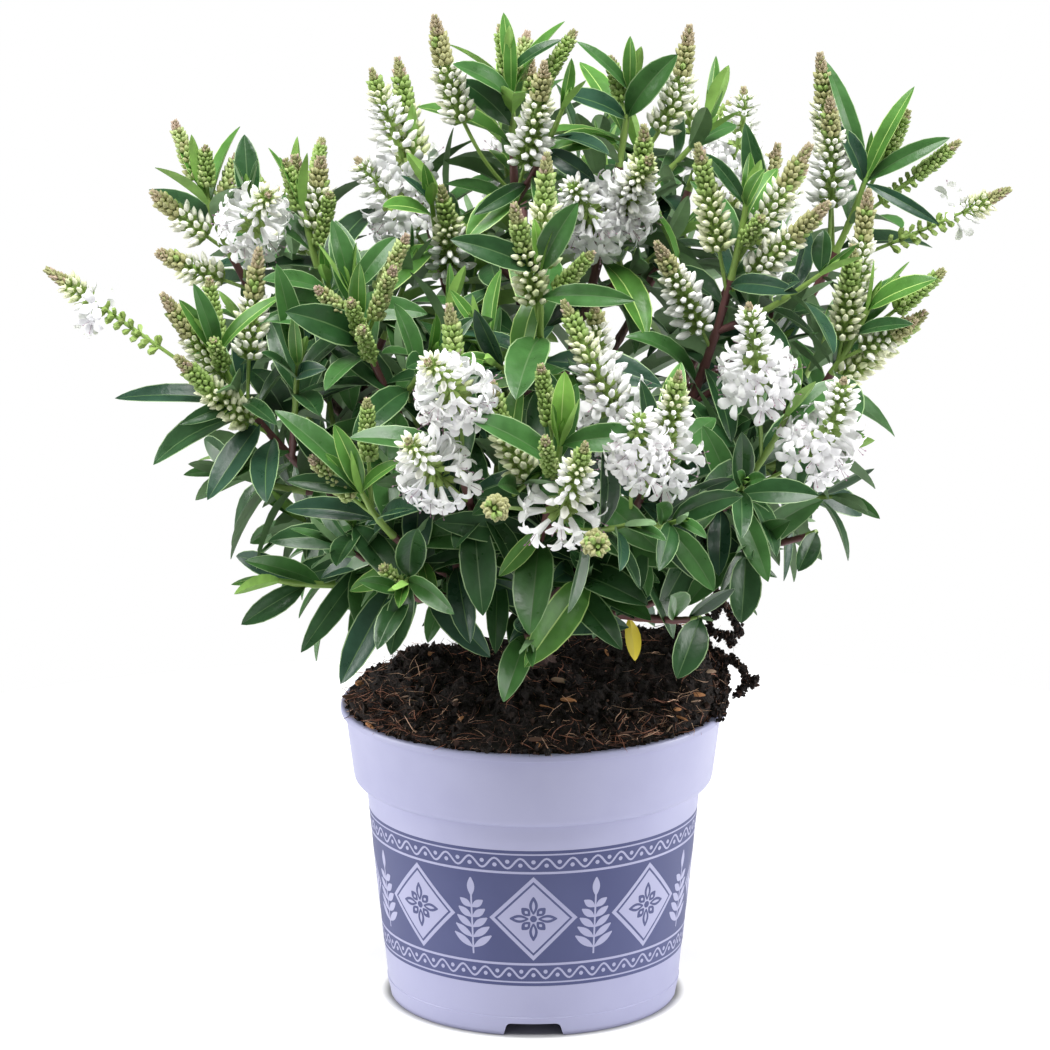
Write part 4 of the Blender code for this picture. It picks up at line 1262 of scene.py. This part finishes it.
# Leaves that stand where the eye falls, by sector: in mm the place of the foot, which moves to the
# nearest shoot, and of the tip, then the width as a share of the length and the tint.
PLACED = {
    "front": (
        ((4, -160, 311), (-30, -168, 333), 0.36, 2), ((21, -160, 313), (54, -166, 323), 0.36, 2),
        ((10, -160, 327), (14, -164, 353), 0.40, 0), ((26, -120, 282), (59, -140, 262), 0.36, 2),
        ((20, -112, 258), (71, -122, 251), 0.34, 2), ((-7, -112, 261), (-46, -124, 272), 0.32, 3),
        ((10, -112, 261), (-2, -148, 225), 0.38, 2), ((11, -105, 235), (-4, -140, 207), 0.36, 1),
        ((-4, -102, 223), (-14, -136, 189), 0.36, 2), ((11, -98, 225), (41, -124, 211), 0.36, 3),
        ((13, -100, 238), (53, -126, 233), 0.36, 3), ((73, -128, 234), (67, -142, 202), 0.52, 3),
        ((100, -88, 260), (98, -106, 219), 0.50, 3), ((124, -80, 282), (125, -98, 242), 0.50, 3),
        ((-78, -105, 273), (-62, -124, 242), 0.36, 3), ((-39, -95, 237), (-30, -120, 213), 0.36, 4),
        ((-10, -116, 268), (-16, -130, 248), 0.34, 1), ((-51, -100, 242), (-47, -116, 229), 0.36, 1),
        ((-56, -100, 244), (-86, -112, 236), 0.30, 1), ((-67, -92, 226), (-91, -108, 190), 0.32, 4),
        ((-52, -92, 220), (-21, -112, 204), 0.34, 4), ((-23, -96, 227), (-18, -116, 207), 0.36, 3),
        ((-87, -80, 223), (-110, -96, 202), 0.32, 3), ((-110, -64, 224), (-139, -80, 211), 0.32, 3),
        ((-107, -60, 230), (-137, -76, 241), 0.32, 2), ((41, -108, 269), (50, -128, 241), 0.34, 3),
        ((79, -90, 275), (87, -110, 243), 0.34, 4), ((-90, -132, 304), (-119, -140, 329), 0.36, 2),
        ((-80, -140, 299), (-92, -146, 324), 0.32, 1), ((-79, -142, 292), (-61, -150, 308), 0.30, 1),
        ((-88, -130, 285), (-114, -140, 296), 0.28, 3),
    ),
    "left": (
        ((-84, -92, 370), (-94, -92, 409), 0.32, 2), ((-77, -85, 375), (-65, -82, 399), 0.36, 2),
        ((-75, -102, 365), (-81, -106, 392), 0.30, 1), ((-80, -98, 348), (-115, -108, 369), 0.38, 3),
        ((-138, -92, 320), (-97, -104, 341), 0.26, 4), ((-111, -90, 357), (-120, -92, 388), 0.34, 2),
        ((-110, -98, 327), (-112, -100, 366), 0.20, 1), ((-152, -68, 350), (-160, -74, 375), 0.34, 2),
        ((-147, -78, 347), (-118, -86, 372), 0.22, 1), ((-155, -70, 340), (-167, -72, 367), 0.24, 1),
        ((-138, -72, 296), (-154, -86, 274), 0.42, 4), ((-146, -70, 298), (-167, -76, 308), 0.30, 3),
        ((-144, -80, 301), (-121, -90, 311), 0.30, 3), ((-159, -50, 309), (-199, -52, 315), 0.26, 4),
    ),
    "right": (
        ((156, 10, 433), (141, 14, 466), 0.24, 2), ((160, 4, 432), (183, 6, 455), 0.26, 1),
        ((168, 0, 429), (200, 2, 431), 0.26, 2), ((157, 4, 418), (147, 2, 437), 0.50, 4),
        ((152, -6, 404), (195, -8, 391), 0.16, 4), ((95, -62, 408), (81, -62, 435), 0.24, 3),
        ((99, -70, 404), (108, -74, 430), 0.34, 1), ((127, 34, 412), (103, 30, 433), 0.34, 3),
        ((145, -58, 376), (137, -60, 398), 0.50, 3), ((164, -58, 360), (190, -66, 376), 0.38, 1),
        ((157, -62, 348), (179, -70, 355), 0.34, 3), ((91, -84, 370), (123, -92, 375), 0.28, 4),
        ((132, -92, 336), (124, -96, 381), 0.30, 4),
    ),
    "crown": (
        ((-15, -20, 452), (-38, -34, 473), 0.36, 2), ((-16, -16, 433), (-35, -20, 463), 0.36, 3),
        ((-11, -14, 458), (-11, -14, 488), 0.22, 1), ((-7, -12, 461), (13, -12, 481), 0.26, 3),
        ((9, -24, 436), (29, -40, 418), 0.38, 4), ((37, -10, 462), (21, -12, 480), 0.30, 2),
        ((43, -18, 440), (14, -30, 458), 0.36, 4), ((44, -12, 457), (46, -14, 483), 0.26, 1),
        ((43, -16, 447), (68, -26, 476), 0.34, 2), ((5, -116, 384), (20, -122, 423), 0.34, 2),
        ((-18, -110, 382), (-38, -122, 406), 0.36, 3), ((7, -114, 373), (46, -130, 379), 0.24, 2),
        ((1, -114, 386), (0, -118, 415), 0.24, 0), ((-12, -28, 407), (-28, -40, 402), 0.38, 3),
        ((-35, -20, 415), (-63, -26, 418), 0.22, 4),
    ),
}
PLACED_REACH = (20 * MM, 62 * MM)  # how near and how far from its tip such a leaf may start
# The room that leaves set by the rule give the heads of the spikes, in mm.
SPIKE_ROOM = {
    "tight": 5, "bud": 8, "white": 10, "opening": 12, "open": 14, "blown": 14, "spent": 7, "knob": 7,
    "loose": 6,
}
BLADE_ROOM = 8 * MM


def placed_leaf(foot, tip, slim, tint):
    """(rings, finishes) of a leaf set from the nearest shoot to a tip, its face up and forward."""
    foot, tip = Vector(foot) * MM, Vector(tip) * MM
    joints = [point for found in shoots.values() for shoot in found for point in shoot.points
              if PLACED_REACH[0] < (point - tip).length < PLACED_REACH[1]]
    root = min(joints, key=lambda joint: (joint - foot).length)
    way = (tip - root).normalized()
    outward = Vector((0.3 * way.x, 0.80, -0.55))
    outward = (outward - way * outward.dot(way)).normalized()
    long = (tip - root).length * 1.04
    slim *= min(1, (tip - foot).length / long + 0.1)
    return blade(root, way, outward, -0.4, 0.8, long, slim, 0, 0.3 - 0.6 * (tint % 2), FIRST_BLADE + tint)


def kept_room():
    """Points on the placed leaves and the spikes' heads and a little in front, each with its room."""
    kept = []

    def keep(point, room, steps):
        for forward, share in steps:
            kept.append((*(point + Vector((0, -forward, 0.26 * forward)) * MM), room * share))

    for row in sum(PLACED.values(), ()):
        for point in placed_leaf(*row)[0][3:9:2, 3]:
            keep(Vector(point), BLADE_ROOM, ((2, 0.6), (12, 1), (26, 1)))
    for line, stage in sum(spikes.values(), []):
        for n in range(8):
            point = line.at(line.length * (0.3 + 0.1 * n))[0]
            keep(point, SPIKE_ROOM[stage] * MM, ((0, 1), (15, 0.8), (30, 0.6)))
    kept = np.array(kept)
    return kept[:, :3], kept[:, 3]


KEPT_PLACES, KEPT_ROOMS = kept_room()


def clear_of_kept(rings):
    spine = rings[3:, 3]
    return (np.linalg.norm(spine[:, None] - KEPT_PLACES[None], axis=2) - KEPT_ROOMS).min() > 0


def leaf_tint(age, chance):
    """Which green a pair has: bright when young, then one of four deep greens."""
    if age == 1:
        return FIRST_BLADE + 1
    return FIRST_BLADE + chance.choice({0: (0, 0, 1), 2: (1, 2, 2)}.get(age, (2, 2, 3, 3, 4, 5)))


def leaves_of(name, number, shoot):
    """(rings, finishes) of each leaf on a shoot, in crossed pairs down from its growing point."""
    chance = random.Random(f"{name} leaves {SEED} {number}")
    phase = chance.uniform(0, math.pi / 2)
    vigour = 1 if number == 0 else 0.86
    for pair, below in enumerate(PAIRS_FROM_TIP):
        distance = shoot.length - below * MM * vigour
        if distance < 2 * MM:
            break
        place, direction = shoot.at(distance)
        long, opening, curve = LEAF_AGES[pair]
        age = pair / len(LEAF_AGES)
        # Painted shade: leaves on the shaded low shoots take greens two steps deeper.
        tint = leaf_tint(pair + (number > 0) + (2 if name in SHADED else 0), chance)
        # Painted light: the crown's leaves, at the top of the plant, take the next lighter green.
        if name in SECTORS["crown"]:
            tint = max(FIRST_BLADE + 1, tint - 1)
        for half in (0, 1):
            turn = phase + (pair / 2 + half) * math.pi + chance.uniform(-0.18, 0.18)
            for attempt, sway in enumerate((0, 0.4, -0.4, 0.2, -0.2)):
                outward = across(direction, turn + sway)
                length = long * MM * vigour * chance.uniform(0.88, 1.10) * (1 - 0.08 * attempt)
                angle = math.radians(opening) * chance.uniform(0.88, 1.12) * (1 - 0.1 * attempt)
                bent = curve + chance.uniform(-0.15, 0.15)
                droop = age * chance.uniform(0.1, 0.9)
                droop += 1.1 * max(0, 0.8 - direction.z) * chance.uniform(0.5, 1.2)
                roll = chance.uniform(-0.5, 0.5) * (0.3 + age)
                slim = chance.uniform(*LEAF_SLIMNESS) * (0.8 if pair < 2 else 1)
                rings, sides = blade(place, direction, outward, angle, bent, length, slim, droop, roll, tint)
                if in_outline(rings, 3 * MM) and (pair < 2 or clear_of_kept(rings)):
                    yield rings, sides
                    break


def leaf_surface():
    """Node group for a leathery leaf: blotches of deeper green, and a fine puckered surface."""
    group, place, scale, result = pattern_group("Leaf surface")
    blotches = wire(group, "TexNoise", "Fac", Vector=place, Scale=scale, Detail=3)
    spread = wire(group, "MapRange", "Result", Value=blotches, From_Min=0.30, From_Max=0.70)
    pucker = wire(group, "TexNoise", "Fac", Vector=place, Scale=360, Detail=2)
    feed(result, Mask=spread, Height=pucker)
    return group


LEAF_SURFACE = leaf_surface()


def leaf_skin(name, colour, dullness, shine=0.36):
    """One green of a leaf: two near shades, unevenly glossy, and very finely puckered."""
    shades = [[share * part for part in colour] for share in (1.20, 0.78)]
    return patterned(
        name, LEAF_SURFACE, BLOTCH_SCALE, shades, (dullness + 0.10, dullness - 0.05), 0.6, 0.3 * MM,
        Specular_IOR_Level=shine,
    )


leaf_finishes = [
    plain("Leaf margin", (0.260, 0.390, 0.180), 0.42),
    plain("Leaf midrib", (0.080, 0.160, 0.055), 0.40),
    leaf_skin("Leaf underside", (0.160, 0.270, 0.125), 0.55, 0.5),
    plain("Young leaf margin", (0.420, 0.600, 0.180), 0.40),
    leaf_skin("Young leaf underside", (0.260, 0.470, 0.100), 0.48, 0.5),
    leaf_skin("Youngest leaf", (0.175, 0.370, 0.058), 0.36),
    leaf_skin("Fresh leaf", (0.080, 0.215, 0.036), 0.34),
    leaf_skin("Green leaf", (0.046, 0.135, 0.032), 0.32),
    leaf_skin("Deep green leaf", (0.023, 0.075, 0.022), 0.30),
    leaf_skin("Blue-green leaf", (0.021, 0.064, 0.035), 0.30),
    leaf_skin("Old leaf", (0.016, 0.050, 0.018), 0.32),
]
for sector, names in SECTORS.items():
    leaves = Joined()
    for name in names:
        for number, shoot in enumerate(shoots[name]):
            for rings, sides in leaves_of(name, number, shoot):
                leaves.skin(rings, sides)
    for row in PLACED.get(sector, ()):
        leaves.skin(*placed_leaf(*row))
    piece = add(f"leaves_{sector}", leaves.mesh(38), *leaf_finishes)
    settle(piece, "foliage", *[f"mass_{name}" for name in names])

# One yellowed leaf hangs from a low shoot at the front.
low_shoot = shoots["low_front_right"][0]
place, _ = low_shoot.at(max(2 * MM, 0.24 * low_shoot.length))
rings, _ = blade(place, (0.1, -0.2, -0.97), (0.35, -0.9, 0.2), 0.35, -0.5, 22 * MM, 0.36, 0, 0.5, FIRST_BLADE)
yellowed = add("yellowed_leaf", skinned(rings, 38), plain("Yellowed leaf", (0.62, 0.50, 0.03), 0.5))
settle(yellowed, "foliage", "mass_low_front_right")


# ---- Flower spikes ----
# Each spike rises on a green stalk from a leaf axil near the growing point and carries close
# rings of buds that open from the foot upwards: brownish at the tip, cream below, then long white
# buds in green cups, and last four-lobed white flowers with two stamens each.

# What a spike of each stage carries, from the share of its length where it starts.
STAGES = {
    "tight": ((0, "olive"), (0.82, "brown")),
    "bud": ((0, "cream"), (0.50, "olive"), (0.83, "brown")),
    "white": ((0, "white"), (0.42, "cream"), (0.66, "olive"), (0.84, "brown")),
    "knob": ((0, "olive"),),
    "loose": ((0, "spent"), (0.36, "olive"), (0.86, "brown")),
    "opening": (
        (0, "flower"), (0.20, "plump"), (0.40, "white"), (0.62, "cream"), (0.80, "olive"), (0.92, "brown"),
    ),
    "open": ((0, "flower"), (0.42, "plump"), (0.70, "white"), (0.86, "cream"), (0.93, "brown")),
    "blown": ((0, "flower"), (0.70, "plump"), (0.90, "white")),
    "spent": ((0, "spent"), (0.50, "flower"), (0.60, "white"), (0.66, "cream"), (0.84, "brown")),
}
# For each kind: step along the axis in mm, how many in a ring, lean from the axis in degrees, and
# how far from the axis it is seated, in mm.
RINGS_OF = {
    "brown": (2.1, 7, 38, 1.4), "olive": (2.9, 8, 42, 1.7), "cream": (3.5, 8, 52, 1.3),
    "white": (4.1, 8, 60, 1.0), "plump": (4.7, 7, 68, 1.0), "flower": (4.6, 8, 82, 1.1),
    "spent": (4.2, 6, 50, 0.7),
}
# For each stage: the size of its buds, the tints it draws from, the thickness of its axis and the
# most that its head is long, both in mm.
SPIKE_BUILD = {
    "tight": (0.92, (1, 1, 2), 1.9, 30), "bud": (1.18, (0, 0, 1), 2.1, 53),
    "white": (1.20, (0, 0, 1), 1.9, 55), "opening": (1.14, (0, 1), 1.6, 51), "open": (1.12, (0, 1), 1.5, 44),
    "blown": (1.0, (0, 1), 1.2, 30), "spent": (1.15, (0, 1), 1.0, 64), "knob": (1.25, (0, 2), 2.2, 17),
    "loose": (0.95, (0, 1), 1.2, 48),
}
MISSING = {"flower": 0.10, "spent": 0.2}  # the share that has dropped off
FALLEN_OF_SPENT = 0.55  # the share of a spent spike's flowers that has fallen
STALK_RADIUS = 0.95  # in mm
LONGEST_STALK = 14 * MM


def turned_rings(profile, sides):
    """Rings about Z from (radius, height) in millimetres."""
    turns = [2 * math.pi * n / sides for n in range(sides)]
    return np.array([
        [(radius * MM * math.cos(turn), radius * MM * math.sin(turn), height * MM) for turn in turns]
        for radius, height in profile
    ])


def corolla():
    """An open flower along Z: a short tube and four spreading, rounded lobes."""
    joined = Joined()
    joined.skin(turned_rings(((0.6, 3.6), (1.0, 6.0), (1.6, 10.6), (0.4, 10.7)), 6))
    along = np.array((0, 0, 1.0))
    for lobe in range(4):
        turn = math.pi / 4 + lobe * math.pi / 2
        out = np.array((math.cos(turn), math.sin(turn), 0))
        side = np.array((-out[1], out[0], 0))
        lift = along * 0.14 * MM - out * 0.05 * MM
        rings = []
        for far, high, wide in ((0.9, 9.4, 0.8), (2.0, 11.0, 1.5), (3.4, 12.0, 2.0), (4.8, 12.4, 1.6),
                                (6.0, 12.1, 0.4)):
            middle = (out * far + along * high) * MM
            half = side * wide * MM
            rings.append([middle + half, middle + lift + along * 0.25 * MM, middle - half, middle - lift])
        joined.skin(np.array(rings))
    return joined.mesh(60)


def stamens():
    """Two thin filaments that reach past the lobes, each with a small anther."""
    joined = Joined()
    for lean in (-1, 1):
        foot, tip = np.array((0.5 * lean, 0, 10.2)) * MM, np.array((2.1 * lean, 0.8, 14.6)) * MM
        for start, end, thick in ((foot, tip, 0.13), (tip, tip + np.array((0.2 * lean, 0, 0.7)) * MM, 0.34)):
            joined.skin(np.array([
                [start + (end - start) * t + np.array((math.cos(a), math.sin(a), 0)) * thick * MM * wide
                 for a in (0, 2.1, 4.2)]
                for t, wide in ((0, 0.7), (0.5, 1), (1, 0.6))
            ]))
    return joined.mesh(60)


def dress(line, stage, chance, spots):
    """Sets rings of buds and flowers round a spike's line, and returns where they start."""
    big, tints, _, longest = SPIKE_BUILD[stage]
    stalk = max(min(0.3 * line.length, LONGEST_STALK), line.length - longest * MM)
    head = line.length - stalk
    tint = chance.choice(tints)
    distance, ring = 0.0, 0
    while distance < head:
        share = distance / head
        kind = [kind for start, kind in STAGES[stage] if start <= share][-1]
        step, many, lean, seat = RINGS_OF[kind]
        place, onward = line.at(stalk + distance)
        close = ramped(share, 0.88, 0.12)
        taper = big * (1.08 - 0.36 * share) * (1 - 0.2 * close)
        for n in range(many):
            turn = 2 * math.pi * (n + 0.5 * (ring % 2)) / many + 0.15 * chance.uniform(-1, 1)
            angle = math.radians(lean * (1 - 0.55 * close**2) * chance.uniform(0.86, 1.14))
            outward = across(onward, turn)
            way = onward * math.cos(angle) + outward * math.sin(angle)
            if kind in MISSING:
                way = (way - up(0.22)).normalized()
                if chance.random() < MISSING[kind]:
                    continue
            if kind == "flower" and stage == "spent" and chance.random() < FALLEN_OF_SPENT:
                continue
            turned_by = way.to_track_quat("Z", "Y") @ Quaternion((0, 0, 1), chance.uniform(0, 6.28))
            size = taper * chance.uniform(0.88, 1.12) * (1.08 if kind == "flower" else 1)
            foot = place + outward * seat * taper * (1 - 0.5 * close) * MM
            own_tint = tint if chance.random() < 0.8 else (tint + 1) % 3
            spots[kind].append((tuple(foot), tuple(turned_by.to_euler()), (size,) * 3, own_tint))
        distance += step * MM * big * (1.10 - 0.34 * share)
        ring += 1
    return stalk


def stalk_rings(line, stalk, core):
    """A spike's stalk up to where its head starts, and from there its thicker, tapering axis."""
    rings = []
    for n in range(19):
        share = n / 18
        point, onward = line.at(line.length * share)
        rest = max(0, (share - stalk / line.length) / (1 - stalk / line.length))
        radius = (STALK_RADIUS + (core - STALK_RADIUS) * min(1, 5 * rest)) * (1 - 0.6 * rest**3) * MM
        rings.append([point + across(onward, math.pi * side / 3) * radius for side in range(6)])
    return np.array(rings)


spots = {kind: [] for kind in RINGS_OF}
stalks = Joined()
for name, found in spikes.items():
    for number, (line, stage) in enumerate(found):
        stalk = dress(line, stage, random.Random(f"{name} buds {SEED} {number}"), spots)
        stalks.skin(stalk_rings(line, stalk, SPIKE_BUILD[stage][2]))
stalk_green = plain("Spike stalk", (0.230, 0.360, 0.080), 0.5)
settle(add("spike_stalks", stalks.mesh(60), stalk_green), "foliage", *MASSES)

CUP = ((0.35, 0), (0.60, 1), (1.35, 2.6), (1, 4.3))
cup_greens = plains(0.55, ("Green cup", (0.210, 0.320, 0.075)), ("Fresh cup", (0.280, 0.400, 0.100)),
                    ("Olive cup", (0.220, 0.300, 0.075)))
white_tints = plains(0.45, ("White bud", (0.930, 0.930, 0.900)), ("Clear white bud", (0.940, 0.940, 0.930)),
                     ("Ivory white bud", (0.910, 0.910, 0.820)))
# Each piece: the kinds of spot it stands on, the outline it is turned from as (radius, height) in mm,
# its number of sides, the sharpest angle that is still smooth, and its finishes.
BUDS = {
    "tip_buds": (("brown",), ((0.6, 0), (1.30, 1.6), (0.3, 3.4)), 4, 50, plains(
        0.6, ("Tan bud", (0.440, 0.370, 0.240)), ("Green-tan bud", (0.360, 0.370, 0.170)),
        ("Pink-tan bud", (0.480, 0.370, 0.280)))),
    "olive_buds": (("olive",), ((0.7, 0.2), (1.65, 2.2), (1.10, 3.7), (0.2, 4.8)), 4, 80, plains(
        0.55, ("Olive bud", (0.370, 0.370, 0.170)), ("Green bud", (0.250, 0.370, 0.095)),
        ("Pale green bud", (0.400, 0.490, 0.190)))),
    "cream_buds": (("cream",), ((0.8, 2.9), (1.30, 4.3), (1.00, 6.1), (0.15, 7.5)), 5, 80, plains(
        0.5, ("Ivory bud", (0.880, 0.880, 0.770)), ("Cream bud", (0.780, 0.800, 0.560)),
        ("Green cream bud", (0.640, 0.700, 0.400)))),
    "slim_buds": (("white",), ((0.9, 3.6), (1.3, 5.4), (1.45, 7.0), (0.9, 8.7), (0.2, 9.6)), 5, 80,
                  white_tints),
    "plump_buds": (("plump",), ((0.8, 3.4), (1.3, 5.0), (1.85, 7.2), (1.25, 9.2), (0.2, 10.6)), 5, 80,
                   white_tints),
    "bud_cups": (("cream", "spent"), CUP, 4, 50, cup_greens),
    "flower_cups": (("white", "plump", "flower"), CUP, 4, 50, cup_greens),
}
for name, (kinds, profile, sides, angle, finishes) in BUDS.items():
    places = sum((spots[kind] for kind in kinds), [])
    settle(strewn(name, skinned(turned_rings(profile, sides), angle), places, finishes), "foliage", *MASSES)
petals = plains(0.5, ("White petal", (0.940, 0.935, 0.945)), ("Clear petal", (0.950, 0.950, 0.950)),
                ("Cool petal", (0.920, 0.920, 0.945)))
settle(strewn("flowers", corolla(), spots["flower"], petals), "foliage", *MASSES)
anther = plain("Mauve anther", (0.300, 0.180, 0.240), 0.5)
settle(strewn("stamens", stamens(), spots["flower"][::2], [anther]), "foliage", *MASSES)


# ---- Studio ----
# A pale floor and a pale surround, with large soft lights at both sides and above, and a camera
# with a long lens a little above the plant.

FLOOR_RADIUS = 0.62
FLOOR_GLOW = 0.7
SURROUND = (0.28, 1.0)  # how bright it is as a light, and as it is seen
CAMERA_PLACE = (-0.0041, -2.6, 0.9007)
CAMERA_DOWN = 14.27


def glowing_floor_with_painted_shadow():
    """A white acrylic table that glows as if lit through from below. Its glow fades to nothing over 4 mm
    round the pot's foot and is off under it: a painted contact shadow.
    """
    made, tree, shader = blank("Glowing table with painted contact shadow")
    place = wire(tree, "TexCoord", "Object")
    distance = wire(tree, "VectorMath", "Value", operation="LENGTH", Vector=place)
    # Painted contact shadow: no glow under the pot, rising to full glow over 4 mm round its foot.
    glow_with_painted_shadow = wire(tree, "MapRange", "Result", Value=distance, From_Min=BASE_RADIUS,
                From_Max=BASE_RADIUS + 4 * MM, To_Max=FLOOR_GLOW)
    feed(shader, Base_Color=(0.45, 0.45, 0.455, 1), Roughness=0.9, Emission_Color=(1, 1, 1, 1),
         Emission_Strength=glow_with_painted_shadow)
    return made


shape = bmesh.new()
bmesh.ops.create_circle(shape, cap_ends=True, segments=96, radius=FLOOR_RADIUS)
add("floor", as_mesh(shape), glowing_floor_with_painted_shadow())

world = bpy.data.worlds.new("Studio")
world.use_nodes = True
sky = world.node_tree
seen = wire(sky, "LightPath", "Is Camera Ray")
strength = wire(sky, "MapRange", "Result", Value=seen, To_Min=SURROUND[0], To_Max=SURROUND[1])
feed(sky.nodes["Background"], Color=(1, 1, 1, 1), Strength=strength)
bpy.context.scene.world = world


def soft_light(name, place, aim, size, power):
    light = bpy.data.lights.new(name, "AREA")
    light.shape = "SQUARE"
    light.size = size
    light.energy = power
    lamp = bpy.data.objects.new(name, light)
    lamp.location = place
    lamp.rotation_euler = (Vector(aim) - Vector(place)).to_track_quat("-Z", "Y").to_euler()
    bpy.context.scene.collection.objects.link(lamp)


soft_light("left_light", (-1.6, 0, 0.45), (0, 0, 0.25), 1.1, 27)
soft_light("right_light", (1.6, 0, 0.45), (0, 0, 0.25), 1.1, 27)
soft_light("top_light", (0, -0.7, 2.1), (0, 0, 0.2), 1.3, 70)

lens = bpy.data.cameras.new("camera")
lens.lens = 187.8
lens.sensor_width = 36
camera = bpy.data.objects.new("camera", lens)
camera.location = CAMERA_PLACE
camera.rotation_euler = (math.radians(90 - CAMERA_DOWN), 0, 0)
bpy.context.scene.collection.objects.link(camera)
bpy.context.scene.camera = camera
bpy.context.scene.view_settings.view_transform = "Standard"
